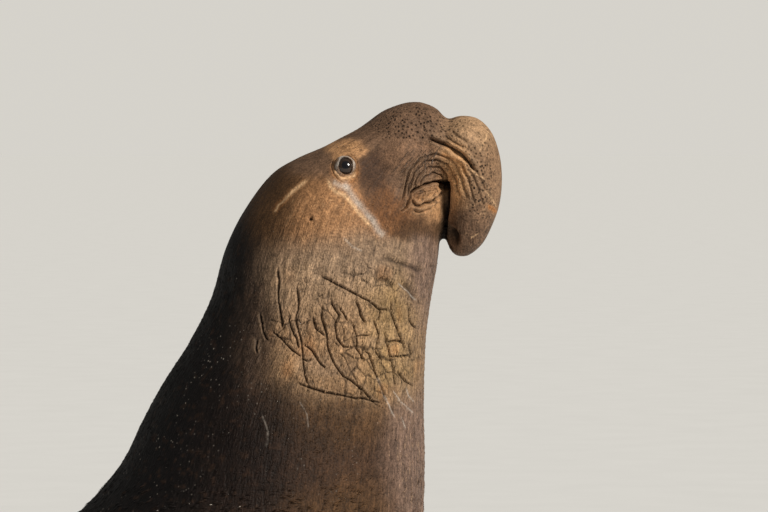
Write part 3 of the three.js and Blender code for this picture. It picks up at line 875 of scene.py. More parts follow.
column, row = picture_place(rest_points)
high_up = rest_points[:, 2]
far_side = ease((rest_points[:, 1] + 0.02) / 0.08)
bend_u = 4.5 * np.sin(row / 19 + 1.1) + 2.5 * skin_noise(0.05, 2)
bend_v = 5.5 * np.sin(column / 27 + 0.4) + 2.5 * skin_noise(0.05, 3)
on_neck = ease((row - 235) / 30)
wander = 0.9 * skin_noise(0.018, 4)
neck_column = column + far_side * on_neck * bend_u + wander
neck_row = row + far_side * on_neck * bend_v + wander
middle_fade = off_middle(0.07)  # marks fade out at the throat's middle line
print("picture columns", round(column.min()), "to", round(column.max()))

# %% [markdown]
# Every form adds to one number for each point, its lift: how far it moves out from the smooth
# skin, in millimetres. The painted shade of cracks, gaps and holes is gathered at the same time.

# %% Lifting the skin
lift = np.zeros(len(rest_points))
# The seams are painted shade, 1 where a crack, gap or hole is darkest.
seam = np.zeros(len(rest_points))  # 1 in the bottom of a crack
lip_highlight = np.zeros(len(rest_points))  # 1 on the raised edge of a crack, where a highlight is painted
uneven = skin_noise(0.028, 16)


def darken(amount):
    """Makes the painted shade of the seams at least as dark as amount."""
    seam[:] = np.maximum(seam, amount)


def carve(line, wide, deep, lip=0.35, dark=1.0, columns=None, rows=None, fade=0.12):
    """A groove along a line with raised lips, tapering at both ends; it paints shade and lip highlights."""
    columns = neck_column if columns is None else columns
    rows = neck_row if rows is None else rows
    near = near_line(columns, rows, line)
    away, share = line_distance(columns[near], rows[near], line)
    taper = ease(np.minimum(share, 1 - share) / fade + 0.25) * middle_fade[near]
    wide = wide * (1 + 0.4 * uneven[near])
    groove = bell(away, wide) * taper
    shoulder = bell(away - 2.3 * wide, 1.3 * wide) * taper
    lift[near] += -deep * groove + lip * deep * shoulder
    seam[near] = np.maximum(seam[near], dark * bell(away, 0.8 * wide) * taper)
    lip_highlight[near] = np.maximum(lip_highlight[near], shoulder * dark * 0.8)


x_mm = (rest_points[:, 0] - SHIFT_X) / MM
NOSE_SIDE_FROM = 511
SOFT_CREASES = ("high_crease", "high_short", "chin_crease")
wandering = {"columns": column + wander, "rows": row + wander}
crack_away = np.full(len(rest_points), 999.0)
for name, line in CRACKS.items():
    wide, deep, dark = (6.0, 5.0, 0.7) if name in SOFT_CREASES else (2.3, 6.5, 1.0)
    carve(line, wide, deep, lip=0.22, dark=dark)
    near = near_line(neck_column, neck_row, line)
    crack_away[near] = np.minimum(crack_away[near], line_distance(neck_column[near], neck_row[near], line)[0])

shield = ease((1.15 - oval_away(*SHIELD, neck_column, neck_row)) / 0.45) * off_middle(0.12)
bent = 0.35 * skin_noise(0.03, 54)
cells = cell_edges(neck_column / 11 + 0.25 * np.sin(neck_row / 9) + bent, neck_row / 17 + bent, 3)
crazed = ease(skin_noise(0.07, 5) * 1.8 + 0.45 + 0.5 * ease((neck_column - 330) / 50))
small_crack = bell(cells, 0.085) * shield * crazed
pillow = 1 - bell(crack_away, 11)
lift += shield * (3.4 * (pillow - 0.7) - 3.4 * small_crack)
lift += shield * (1.5 * skin_noise(0.03, 6) + 2.0 * skin_noise(0.08, 8))
# The fine cracks get painted shade too.
darken(0.85 * small_crack)
pleat_place = np.stack([neck_column * PIXEL, neck_row * PIXEL * 0.14, far_side * 0.3], axis=1)
pleats = soft_noise(pleat_place, 0.011, 7) + 0.7 * soft_noise(pleat_place, 0.022, 17)
lift += 1.5 * pleats * ease((row - 215) / 40) * ease((470 - row) / 160) * middle_fade

carve(NOSE_FOLD, 5.0, 13, lip=0.3, **wandering)
# The deep groove of the gap is darkened more than a crack, as painted shade.
carve(NOSE_GAP, 4.5, 26, lip=0, dark=1.3, columns=column, rows=row, fade=0.04)
for name, line in MOUTH_FOLDS.items():
    wide, deep, dark = (1.5, 2.4, 0.6) if "knob" in name else (2.1, 4.6, 0.85)
    carve(line, wide, deep, dark=dark, columns=column + 1.4 * wander, rows=row + 1.3 * wander)
for line in NOSE_WRINKLES.values():
    carve(line, 3.0, 3.2, dark=0.6, columns=column + wander, rows=row)
carve(MOUTH, 3.0, 15, lip=0.2, columns=column + 0.7 * wander, rows=row + 0.7 * wander, fade=0.06)
carve(UNDER_LIP, 3.0, 8, **wandering)
carve(UNDER_LOBE, 2.6, 4.5, dark=0.7, **wandering)
for place, reach, rise in BULGES.values():
    lift += rise * bell(oval_away(place, reach, column, row)) * off_middle(0.04)
# The hollow's dark is painted shade.
hollow_place, hollow_reach, hollow_lean = NOSE_HOLLOW
leaning = column - hollow_lean * (row - hollow_place[1])
hollow = ease(1.35 - oval_away(hollow_place, hollow_reach, leaning, row)) * (x_mm >= NOSE_SIDE_FROM)
lift -= 14 * hollow
darken(hollow)
on_lip = ease(1.4 - oval_away(*LIP_KNOBS, column, row)) * off_middle(0.04)
knobs = skin_noise(0.012, 52) + 0.6 * skin_noise(0.006, 53)
lift += 3.2 * on_lip * knobs
# The low places between the knobs are darkened as painted shade.
darken(0.75 * on_lip * ease(-knobs * 1.6 - 0.25))
# The pit at the mouth corner is darkened as painted shade.
corner = ease(1.5 - oval_away(*MOUTH_CORNER, column, row)) * off_middle(0.04)
lift -= 9 * corner
darken(corner)
print("grooves and bulges: lift", round(lift.min(), 1), "to", round(lift.max(), 1), "mm")

# %% [markdown]
# Arched folds ring the corner of the mouth, where the heavy nose drags on the cheek. They are
# rings round one point: the distance to it, bent by noise, runs through a wave with narrow
# valleys and round ridges.

# %% The arched folds
ARCH_FROM = 12.5
ARCH_TO = 37
ARCH_STEP = 4.1
wobble = 3.2 * skin_noise(0.034, 9) + 1.7 * skin_noise(0.014, 10)
patchy = 0.65 + 0.55 * skin_noise(0.02, 51)
arch_u = column - ARCHES_MIDDLE[0]
arch_v = ARCHES_MIDDLE[1] - row
arch_away = np.hypot(arch_u, arch_v * 1.05) + wobble
arch_turn = np.degrees(np.arctan2(arch_v, arch_u))
inside = ease((arch_away - ARCH_FROM) / 3) * ease((ARCH_TO - arch_away) / 9)
inside *= ease((arch_turn + 22) / 24) * ease((196 - arch_turn) / 18) * (arch_turn > -60)
inside *= off_middle(0.03)
valley = (1 - np.abs(np.sin(np.pi * (arch_away - ARCH_FROM) / ARCH_STEP))) ** 3
fine_valley = (1 - np.abs(np.sin(np.pi * (arch_away * 2.1 + wobble * 1.5) / ARCH_STEP))) ** 3
strong = 1 - 0.45 * ease((arch_away - 24) / 12)
lift += inside * (1.4 - patchy * (2.3 * valley * strong + 2.0 * fine_valley))
# The valleys of the folds are darkened as painted shade.
darken(inside * patchy * (0.4 * valley * strong + 0.45 * fine_valley))
print("arched folds on", int((inside > 0.1).sum()), "points")

# %% [markdown]
# Eyes, ears and nostrils are openings. An eye is measured from the middle that the solids give,
# across the way it looks, and ears and nostrils from named places, so all sit right on both sides.
# The skin dives behind the eyeball inside the lids, and the lids stand up round it as a rim with a
# crease above.

# %% Eyes, ears and nostrils
EYE_OPEN = (16.5, 23)  # half the opening's width and height
LOOK_ASIDE = 0.68  # how far the eye turns from the slope of the head to the side
LOOK_AHEAD = 0.12
LOOK_UP = 0.1
LID_THICK = 3.2
LID_FOLDS = (  # ring, width, rise in millimetres, and the share of it that also stands under the eye
    (1.2, 0.18, 3.0, 1),
    (1.75, 0.25, 3.5, 0.4),
    (1.48, 0.09, -3.0, 0.45),
    (2.08, 0.1, -2.0, 1),
)
BEHIND_LIDS = 0.72  # how deep in the eyeball the skin ends, as a share of its radius
EAR = (161, 1573)
EAR_HOLE = 3.4
NOSTRIL = (524, 29, 1508)
NOSTRIL_SIZE = (17, 10, 19)

normals = numbers(skin_mesh.vertices, "normal", 3)
lid_ring = np.full(len(rest_points), 9.0)  # 1 at the edge of the lids, more outside
lid_height = np.zeros(len(rest_points))  # where a point is round the eye: 1 above, -1 below
sockets = {}
for side_name, side in SIDES.items():
    low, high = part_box(f"eye_{side_name}")
    ball = np.array((low + high) / 2)
    radius = float((high - low).z) / 2
    near = np.flatnonzero(np.linalg.norm(rest_points - ball, axis=1) < 0.11)
    closest = near[np.argsort(np.linalg.norm(rest_points[near] - ball, axis=1))[:400]]
    out = normals[closest].mean(0)
    out /= np.linalg.norm(out)
    out = out * (1 - LOOK_ASIDE) + np.array((LOOK_AHEAD, side * LOOK_ASIDE, LOOK_UP))
    out /= np.linalg.norm(out)
    ahead = np.cross(out, (0, 0, 1)) * -side
    ahead /= np.linalg.norm(ahead)
    above = np.cross(ahead, out) * side
    above *= np.sign(above[2])
    local = (rest_points[near] - ball) / MM
    local *= np.maximum(1, radius / MM / np.linalg.norm(local, axis=1))[:, None]
    in_front = local @ out > 0
    ring = np.hypot(local @ ahead / EYE_OPEN[0], local @ above / EYE_OPEN[1])
    ring += 0.05 * soft_noise(rest_points[near], 0.009, 40) * ease((ring - 0.8) / 0.2)
    ring = np.where(in_front, ring, 9)
    lid_ring[near] = ring
    lid_height[near] = (local @ above) / np.maximum(np.linalg.norm(local, axis=1), 1)
    sockets[side_name] = (ball, radius, out, ahead, above)
    upper = ease(lid_height[near] * 1.5 + 0.4)
    for middle, wide, rise, all_round in LID_FOLDS:
        lift[near] += rise * bell(ring - middle, wide) * (all_round + (1 - all_round) * upper)
    spokes = np.arctan2(local @ above, local @ ahead) * 9 + 2.5 * soft_noise(rest_points[near], 0.02, 41)
    lift[near] += 0.8 * np.sin(spokes) * bell(ring - 1.8, 0.5)
    ear_away = np.hypot(rest_points[:, 0] - SHIFT_X - EAR[0] * MM, rest_points[:, 2] - EAR[1] * MM) / MM
    ear_away = np.where(rest_points[:, 1] * side > 0.05, ear_away, 999)
    lift -= 11 * ease((EAR_HOLE * 1.5 - ear_away) / EAR_HOLE)
    lift += 2.2 * bell(ear_away - 12, 4)
    # The ear hole is darkened as painted shade.
    darken(ease((EAR_HOLE * 1.6 - ear_away) / EAR_HOLE))
    nostril = np.array((NOSTRIL[0], side * NOSTRIL[1], NOSTRIL[2])) * MM + (SHIFT_X, 0, 0)
    within = np.linalg.norm((rest_points - nostril) / (np.array(NOSTRIL_SIZE) * MM), axis=1)
    lift -= 20 * ease((1.02 - within) / 0.5)
    lift += 2.5 * bell(within - 1.3, 0.22)
    # The nostril is darkened as painted shade.
    darken(ease((1.08 - within) / 0.25))
    print(side_name, "eye looks", [round(float(c), 2) for c in out])

# %% [markdown]
# Blubber is never quite smooth. Broad noise makes soft dents over the body, the back folds where
# it bends up, the flippers get fine wrinkles, and the whole skin is drawn in by the depth of the
# coat. Points that end up under the floor are laid on it, as the belly rests.

# %% The finished relief
COAT_DEPTH = 2.0 * MM
FLOOR_GAP = 0.4 * MM
region = region_of(rest_points)
blubber = ease((1500 - high_up / MM) / 500) * (region < 2)
lift += blubber * (3.5 * skin_noise(0.32, 12) + 1.6 * skin_noise(0.12, 13))
bend_fold = np.sin(along * 2 * np.pi / 0.085 + 1.5 * skin_noise(0.2, 14))
on_bend = bell(along - 2.45, 0.3) * ease((np.abs(angle) - 1.9) / 0.7) * (region < 2)
lift += 2.0 * on_bend * bend_fold
limb_wrinkles = np.sin(high_up / 0.006 + 2 * skin_noise(0.04, 15)) * ease(high_up / 0.12 - 0.3)
lift += 0.9 * limb_wrinkles * (region >= 3)
lift -= COAT_DEPTH / MM
moved = rest_points + normals * (lift * MM)[:, None]
for ball, radius in [socket[:2] for socket in sockets.values()]:
    near = np.flatnonzero((np.linalg.norm(rest_points - ball, axis=1) < 0.1) & (lid_ring < 2.5))
    from_ball = moved[near] - ball
    distance = np.linalg.norm(from_ball, axis=1)
    ring = lid_ring[near]
    lid = radius + LID_THICK * MM * (0.35 + 0.65 * ease((1.7 - ring) / 0.5))
    over_ball = np.maximum(distance, lid)
    inside_lids = ease((1.0 - ring) / 0.1)
    reached = over_ball * (1 - inside_lids) + BEHIND_LIDS * radius * inside_lids
    moved[near] = ball + from_ball * (reached / distance)[:, None]
moved[:, 2] = np.maximum(moved[:, 2], FLOOR_GAP)
put_back(skin_mesh, moved)
print("skin lifted by", round(lift.min(), 1), "to", round(lift.max(), 1), "mm")

# %% [markdown]
# The colour is painted point by point. A palette of a few plain tones is placed on the animal as
# soft patches that run into each other: tan on the cheek, grey brown on the cracked shield,
# nearly black along the back, partly dark fur and partly painted shade. Away from the picture the
# tone follows the body: dark above, again partly as painted shade, and warmer and paler below.

# %% The tones of the hide
TONES = {  # red, green and blue as a screen shows them
    "warm_tan": (0.62, 0.455, 0.315),
    "pale_tan": (0.575, 0.475, 0.38),
    "shield_brown": (0.60, 0.475, 0.355),
    "shield_olive": (0.58, 0.47, 0.325),
    "nose_brown": (0.66, 0.53, 0.405),
    "muzzle_brown": (0.45, 0.34, 0.26),
    "crown_brown": (0.415, 0.32, 0.25),
    "rust": (0.415, 0.275, 0.165),
    "dark_brown": (0.25, 0.175, 0.125),
    "earth": (0.31, 0.22, 0.14),
    "breast_grey": (0.455, 0.37, 0.325),
    "umber": (0.088, 0.054, 0.041),
    "night_brown": (0.05, 0.042, 0.046),
    "shade_brown": (0.085, 0.06, 0.048),
    "brow_tan": (0.70, 0.53, 0.375),
    "nose_side_brown": (0.51, 0.40, 0.305),
    "neck_grey": (0.53, 0.44, 0.36),
    "grey_brown": (0.23, 0.18, 0.15),
    "band_tan": (0.93, 0.71, 0.49),
    "cream": (0.84, 0.69, 0.53),
    "amber": (0.70, 0.46, 0.25),
    "pale_grey": (0.72, 0.68, 0.64),
}
PATCHES = {  # place in the picture, reach across and down, tone
    "crown": ((392, 122), (40, 18), "crown_brown"),
    "forehead": ((372, 136), (14, 8), "crown_brown"),
    "over_eye": ((348, 146), (13, 6.5), "brow_tan"),
    "behind_eye": ((308, 160), (18, 10), "crown_brown"),
    "back_of_head": ((268, 192), (20, 36), "earth"),
    # Painted shade in the hollow before the eye.
    "before_eye": ((376, 170), (13, 17), "dark_brown"),
    "muzzle": ((404, 152), (16, 18), "muzzle_brown"),
    "cheek": ((396, 210), (20, 17), "rust"),
    # Painted shadow under the chin.
    "jaw": ((418, 227), (22, 8), "earth"),
    "under_eye": ((325, 214), (26, 24), "warm_tan"),
    "upper_neck": ((352, 258), (46, 18), "neck_grey"),
    "mid_neck": ((318, 292), (36, 26), "pale_tan"),
    "shield": ((322, 345), (42, 40), "shield_brown"),
    "shield_front": ((395, 338), (26, 44), "shield_olive"),
    "throat_front": ((424, 300), (12, 50), "breast_grey"),
    # The near-black back of the neck is partly dark fur and partly painted shade.
    "back_of_neck": ((225, 290), (22, 80), "night_brown"),
    "rear_neck": ((254, 335), (17, 50), "grey_brown"),
    # The near-black withers are partly dark fur and partly painted shade.
    "withers": ((160, 430), (45, 60), "night_brown"),
    "low_chest": ((265, 440), (56, 52), "umber"),
    "chest": ((340, 425), (40, 22), "earth"),
    "chest_middle": ((340, 465), (46, 24), "dark_brown"),
    "breast": ((352, 505), (40, 26), "earth"),
    "breast_front": ((410, 465), (20, 60), "breast_grey"),
    "nose_top": ((478, 126), (24, 14), "nose_brown"),
    "nose_side": ((484, 180), (20, 26), "nose_side_brown"),
    "nose_tip": ((468, 228), (20, 20), "crown_brown"),
    "chin": ((433, 207), (11, 10), "brow_tan"),
    "over_mouth": ((430, 160), (16, 12), "muzzle_brown"),
    "fold_band": ((456, 176), (10, 17), "band_tan"),
    "fold_area": ((402, 185), (8, 12), "crown_brown"),
}


def linear(colour):
    """Screen colours turned into the plain light that Blender works in."""
    colour = np.asarray(colour, float)
    return np.where(colour < 0.04045, colour / 12.92, ((colour + 0.055) / 1.055) ** 2.4)


tone = {name: linear(value) for name, value in TONES.items()}
paint_u = column + 5 * skin_noise(0.07, 20) + 2.5 * skin_noise(0.02, 21)
paint_v = row + 5 * skin_noise(0.07, 22) + 2.5 * skin_noise(0.02, 23)
weights = np.full(len(rest_points), 0.02)
paint = np.zeros((len(rest_points), 3))
round_body = np.abs(angle) / np.pi + 0.07 * skin_noise(0.25, 24)
belly_tone = ease((0.34 - round_body) / 0.3)[:, None]
# The back is darker partly as dark fur and partly as painted shade.
back_tone = ease((round_body - 0.5) / 0.35)[:, None]
body_paint = tone["dark_brown"] * (1 - back_tone) + tone["night_brown"] * back_tone
body_paint = body_paint * (1 - belly_tone) + tone["crown_brown"] * belly_tone
paint += body_paint * weights[:, None]
in_picture = ease((high_up - 0.62) / 0.3)
for place, reach, name in PATCHES.values():
    weight = bell(oval_away(place, reach, paint_u, paint_v)) * in_picture
    weights += weight
    paint += weight[:, None] * tone[name]
paint /= weights[:, None]
paint *= (1 + 0.1 * skin_noise(0.16, 25) + 0.1 * skin_noise(0.05, 26))[:, None]
paint *= (1 + 0.22 * skin_noise(0.014, 27) + 0.16 * skin_noise(0.007, 32))[:, None]
streak_place = np.stack([along * 0.16, np.abs(angle) * 0.5, rest_points[:, 1] * 0.1], axis=1)
streaks = soft_noise(streak_place, 0.012, 28) + 0.6 * soft_noise(streak_place, 0.005, 29)
paint *= 1 + 0.2 * (streaks * (region < 2))[:, None]
print("painted with", len(PATCHES), "patches of", len(TONES), "tones")

# %% [markdown]
# Over these tones go the marks: painted shade in the cracks with painted highlights on their lips,
# the pale trail that runs down from the eye, a healed scar, the lids with their painted shade and
# highlight, scratches, amber skin where the folds rub, and painted shade in the gap behind the nose.

# %% The marks
SCRATCHES = {
    "breast_long": [(378.5, 377.5), (383, 391), (390.5, 408.5), (395, 417)],
    "breast_forked": [(393.5, 391), (402, 402.5), (408, 407), (414, 413)],
    "breast_low": [(402, 417), (404, 422), (406.5, 428)],
    "breast_edge": [(406, 386), (409, 395), (415, 402)],
    "nose_first": [(470, 168), (476, 174), (484, 179)],
    "nose_second": [(485, 190), (491, 198), (497, 207)],
    "nose_third": [(489, 131), (485, 141), (480, 151)],
    "nose_fourth": [(471, 238), (476, 236), (479, 234)],
    "throat": [(398, 283), (409, 291), (417, 300)],
    "cheek_low": [(344, 238), (352, 246), (362, 251)],
    "chest_high": [(300, 402), (307, 414), (309, 428)],
    "chest_mid": [(262, 415), (268, 431), (266, 446)],
}
AMBER_ARC = [(441, 154), (452, 157), (461, 164), (466, 173)]
AMBER_SPOT = [(488, 206), (493, 209), (497, 213)]
CROWN_PORES = ((420, 123), (40, 17))  # middle and reach
NOSE_PORES = ((480, 175), (20, 60))


def mix(target, share):
    paint[:] = paint + np.clip(share, 0, 1)[:, None] * (tone[target] - paint)


def stripe(line, wide, strength, columns=column, rows=row, fade=0.1):
    """How strongly a soft stripe of some millimetres covers each point."""
    cover = np.zeros(len(rest_points))
    near = near_line(columns, rows, line)
    away, share = line_distance(columns[near], rows[near], line)
    taper = ease(np.minimum(share, 1 - share) / fade + 0.3)
    cover[near] = strength * taper * bell(away, wide)
    return cover


fray = 0.7 * skin_noise(0.01, 30)
frayed = (column + fray, row + fray)
plate_u, plate_v = neck_column / 24 + 0.3 * skin_noise(0.06, 44), neck_row / 30
plate = soft_noise(np.stack([np.floor(plate_u), np.floor(plate_v * 1.3), far_side], axis=1), 0.71, 45)
mix("cream", 0.22 * shield * ease(plate) * ease(pillow))
mix("amber", 0.3 * shield * ease(skin_noise(0.05, 46) * 1.6 - 0.3))
flecks = ease(soft_noise(streak_place * (1, 1, 3), 0.0028, 47) * 2.2 - 0.7)
mix("cream", 0.2 * flecks * in_picture * (row > 200) * (paint.mean(1) > 0.09))
mix("neck_grey", 0.4 * shield * ease(skin_noise(0.06, 55) * 1.8 - 0.2))
mix("dark_brown", 0.3 * in_picture * ease(skin_noise(0.011, 56) * 2 - 0.5) * (region < 3))
# Painted shade in cracks, gaps and holes, and a painted highlight on the raised lips of the cracks.
mix("shade_brown", 0.88 * seam)
mix("pale_tan", 0.45 * lip_highlight * (1 - seam))
picture_side = 1 - far_side
tear_share = stripe(TEAR, 9.0, 0.75, *frayed, fade=0.02)
mix("amber", stripe(TEAR, 15, 0.4, *frayed) * (1 - tear_share))
mix("pale_grey", tear_share * (0.75 + 0.25 * skin_noise(0.012, 31)))
mix("cream", stripe(WET_RIM, 4.5, 0.8, *frayed))
mix("pale_grey", stripe(WET_PATCH, 10, 0.6))
mix("cream", stripe(SCAR[:4], 5.0, 0.95, column + 0.5 * fray, row + fray, fade=0.3) * picture_side)
mix("cream", stripe(SCAR[3:], 2.6, 0.7, column + 0.5 * fray, row + fray) * picture_side)
mix("amber", stripe(SCAR, 7.5, 0.35) * picture_side * (1 - stripe(SCAR, 3.4, 1)))
for name, line in SCRATCHES.items():
    pale, wide, strength = "pale_grey", 1.7, 0.55
    if "nose" in name:
        pale, wide, strength = "cream", 1.7, 0.6
    if "chest" in name:
        wide, strength = 1.4, 0.3
    mix(pale, stripe(line, wide, strength, column + fray + 30 * far_side, row + fray - 14 * far_side))
mix("amber", stripe(AMBER_ARC, 5, 0.4, *frayed))
# Painted shadow of the nose on the throat, filling the gap between them.
mix("shade_brown", stripe(NOSE_GAP, 8.5, 1.0, fade=0.03))
mix("amber", stripe(AMBER_SPOT, 6, 0.7, column + 2 * fray, row + 2 * fray))
torn_ring = lid_ring + 0.22 * skin_noise(0.016, 42) + 0.12 * skin_noise(0.006, 43)
mix("warm_tan", 0.5 * bell(torn_ring - 1.9, 0.42))
mix("amber", 0.16 * bell(torn_ring - 2.2, 0.35) * ease(0.6 - lid_height))
# A pale grey ring on the wet lid margin, partly its own colour and partly a painted highlight.
mix("pale_grey", 0.85 * bell(torn_ring - 1.22, 0.18) * ease(lid_height + 0.85))
mix("cream", 0.8 * bell(torn_ring - 1.62, 0.16) * ease(-lid_height * 1.6 - 0.1))
# Painted shade where the lids meet the eyeball and in the crease above the eye.
mix("shade_brown", 0.92 * ease((1.04 - lid_ring) / 0.06))
mix("shade_brown", 0.5 * bell(lid_ring - 1.48, 0.06) * ease(lid_height + 0.3))
wet = np.maximum(tear_share, 0.9 * ease((1.5 - lid_ring) / 0.35))
wet = np.maximum(wet, stripe(WET_PATCH, 12, 0.9))
wrinkled = np.maximum(shield, inside)
pores = ease(1.7 - oval_away(*CROWN_PORES, column, row))
pores = np.maximum(pores, bell(oval_away(*NOSE_PORES, column, row)))
furred = ease((lid_ring - 1.2) / 0.5) * (1 - seam) * (1 - tear_share)
print("marks painted, darkest", paint.min(0).round(3), "palest", paint.max(0).round(2))

# %% [markdown]
# The painted values travel with the mesh as attributes, which a material can read and a bake can
# keep. Besides the colour there are five plain masks, for wet, wrinkled, pored, streaky and sandy
# skin, and the place in the fur, which turns round noise into streaks that follow the hair.

# %% Attributes of the skin
ARM_LIE = (-0.79, 0.61)
BACK_SAND = (190, 395)  # a place on the sandy line down the back of the neck
BACK_SLOPE = 0.62
BACK_SAND_WIDE = 26


def store(mesh, name, values, kind="FLOAT"):
    layer = mesh.attributes.new(name, kind, "POINT")
    field = {"FLOAT": "value", "FLOAT_VECTOR": "vector", "FLOAT_COLOR": "color"}[kind]
    layer.data.foreach_set(field, np.ascontiguousarray(values, np.float32).ravel())


def off_border(away, wide):
    """0 on the border of two regions, where the streaks of both would meet, and 1 off it."""
    return ease(np.abs(away) / wide - 0.15)


def with_alpha(colours):
    return np.hstack([np.clip(colours, 0.003, 1), np.ones((len(colours), 1))])


arm_along = rest_points[:, 0] * ARM_LIE[0] + np.abs(rest_points[:, 1]) * ARM_LIE[1]
arm_across = rest_points[:, 0] * ARM_LIE[1] - np.abs(rest_points[:, 1]) * ARM_LIE[0]
fur_place = np.stack([along, np.abs(angle) * 0.36, rest_points[:, 1] * 0.2], axis=1)
on_nose = region == 2
on_arm = (region == 3) | (region == 4)
on_hind = region >= 5
fur_place[on_arm] = np.stack([arm_along, arm_across, high_up], axis=1)[on_arm]
fur_place[on_hind] = rest_points[on_hind]
fur_place[on_nose] = rest_points[on_nose][:, [2, 0, 1]]
store(skin_mesh, "coat_colour", with_alpha(paint), "FLOAT_COLOR")
store(skin_mesh, "fur_place", fur_place, "FLOAT_VECTOR")
store(skin_mesh, "wet", wet)
store(skin_mesh, "wrinkled", wrinkled)
store(skin_mesh, "pores", pores)
streaky = 1 - 0.62 * ease((high_up - 1.5) / 0.14)
streaky *= np.where(by_the_arm(x_mm, high_up), off_border(np.abs(rest_points[:, 1]) - ARM_OUT, 0.03), 1)
streaky *= off_border(x_mm - HIND_FROM, 45)
streaky *= np.where(high_up < 1.2, 1, off_border(x_mm - NOSE_FROM, 25))
streaky *= np.where(high_up < 0.2, off_border(x_mm - LOW_HIND_FROM, 45), 1)
between = (x_mm > HIND_FROM) & (x_mm < LOW_HIND_FROM)
streaky *= np.where(between, off_border(high_up - LOW_HIND_TOP, 0.03), 1)
store(skin_mesh, "streaky", streaky)
off_back_line = neck_column - BACK_SAND[0] + (neck_row - BACK_SAND[1]) * BACK_SLOPE
back_line = bell(off_back_line, BACK_SAND_WIDE) * ease((row - 300) / 60)
sandy = np.maximum(0.85 * back_line, 0.16 * (row > 380)) * in_picture
sandy *= ease(skin_noise(0.05, 57) * 2.2 - 0.1)
store(skin_mesh, "sandy", sandy)
print("attributes:", [layer.name for layer in skin_mesh.attributes if not layer.name.startswith(".")])

# %% [markdown]
# The hide's material reads the painted colour and adds what is finer than the mesh: hair streaks,
# pores, crazed fine wrinkles and grains of sand. The same textures drive the bump, so light and
# colour agree. Numbers that are the same all over are set on the shader itself.

# %% The hide's material


class Nodes:
    """A short way to add and join the nodes of one material."""

    def __init__(self, name):
        self.material = bpy.data.materials.new(name)
        self.material.use_nodes = True
        self.tree = self.material.node_tree
        self.shader = self.tree.nodes["Principled BSDF"]

    def add(self, kind, settings=None, **inputs):
        node = self.tree.nodes.new(kind)
        for key, value in (settings or {}).items():
            setattr(node, key, value)
        for key, value in inputs.items():
            self.plug(node.inputs[key.replace("_", " ")], value)
        return node

    def plug(self, socket, value):
        if isinstance(value, bpy.types.NodeSocket):
            self.tree.links.new(value, socket)
        else:
            socket.default_value = value

    def painted(self, name):
        return self.add("ShaderNodeAttribute", {"attribute_name": name})

    def stretched(self, vector, scale):
        node = self.add("ShaderNodeVectorMath", {"operation": "MULTIPLY"})
        self.plug(node.inputs[0], vector)
        node.inputs[1].default_value = scale
        return node.outputs[0]

    def noise(self, vector, detail=3.0):
        node = self.add("ShaderNodeTexNoise", None, Vector=vector, Scale=1.0, Detail=detail)
        return node.outputs["Fac"]

    def cells(self, vector, feature="F1"):
        node = self.add("ShaderNodeTexVoronoi", {"feature": feature}, Vector=vector, Scale=1.0)
        return node.outputs["Distance"]

    def joined(self, operation, first, second):
        node = self.add("ShaderNodeMath", {"operation": operation})
        self.plug(node.inputs[0], first)
        self.plug(node.inputs[1], second)
        return node.outputs[0]

    def times(self, first, second):
        return self.joined("MULTIPLY", first, second)

    def plus(self, first, second):
        return self.joined("ADD", first, second)

    def less(self, first, second):
        return self.joined("SUBTRACT", first, second)

    def spread(self, value, low, high, to_low, to_high):
        node = self.add("ShaderNodeMapRange")
        self.plug(node.inputs["Value"], value)
        for key, number in zip(("From Min", "From Max", "To Min", "To Max"), (low, high, to_low, to_high)):
            node.inputs[key].default_value = number
        return node.outputs["Result"]

    def from_noise(self, noise, to_low, to_high):
        """A noise stays mostly between 0.3 and 0.7, and this spreads it to other limits."""
        return self.spread(noise, 0.3, 0.7, to_low, to_high)

    def plain(self, colour):
        """A colour as a node, which noise can shade."""
        node = self.add("ShaderNodeRGB")
        node.outputs[0].default_value = (*colour, 1)
        return node.outputs[0]

    def tinted(self, colour, factor):
        """A colour made darker or lighter by a factor."""
        node = self.add("ShaderNodeVectorMath", {"operation": "SCALE"})
        self.plug(node.inputs[0], colour)
        self.plug(node.inputs["Scale"], factor)
        return node.outputs[0]

    def finish(self, colour, rough, height, strength, distance, **fixed):
        """Plugs in colour, roughness and bump, and sets what is the same all over."""
        bump = self.add("ShaderNodeBump", None, Height=height, Strength=strength, Distance=distance)
        self.plug(self.shader.inputs["Base Color"], colour)
        self.plug(self.shader.inputs["Roughness"], rough)
        self.plug(self.shader.inputs["Normal"], bump.outputs["Normal"])
        for name, value in fixed.items():
            self.shader.inputs[name.replace("_", " ")].default_value = value


HAIR_STRETCH = (48, 240, 60)
LOCK_STRETCH = (14, 80, 14)
FINE_SIZE = (210, 210, 210)
PORE_SIZE = (105, 105, 105)
CRAZE_SIZE = (44, 80, 50)
SAND_SIZE = (75, 75, 75)
DULL = 0.16  # how little hide and hair shine

hide = Nodes("seal_hide")
place = hide.painted("fur_place").outputs["Vector"]
solid_place = hide.add("ShaderNodeTexCoord").outputs["Object"]
hair = hide.noise(hide.stretched(place, HAIR_STRETCH), 2.0)
lock = hide.noise(hide.stretched(place, LOCK_STRETCH), 3.0)
fine = hide.noise(hide.stretched(solid_place, FINE_SIZE), 3.0)
pore_dots = hide.spread(hide.cells(hide.stretched(solid_place, PORE_SIZE)), 0.16, 0.4, 1.0, 0.0)
pore_dots = hide.times(pore_dots, hide.painted("pores").outputs["Fac"])
sand_grains = hide.spread(hide.cells(hide.stretched(solid_place, SAND_SIZE)), 0.1, 0.2, 1.0, 0.0)
sand_grains = hide.times(sand_grains, hide.painted("sandy").outputs["Fac"])
craze = hide.cells(hide.stretched(place, CRAZE_SIZE), feature="DISTANCE_TO_EDGE")
craze_lines = hide.spread(craze, 0.0, 0.09, 1.0, 0.0)
craze_lines = hide.times(craze_lines, hide.painted("wrinkled").outputs["Fac"])
streaky = hide.painted("streaky").outputs["Fac"]
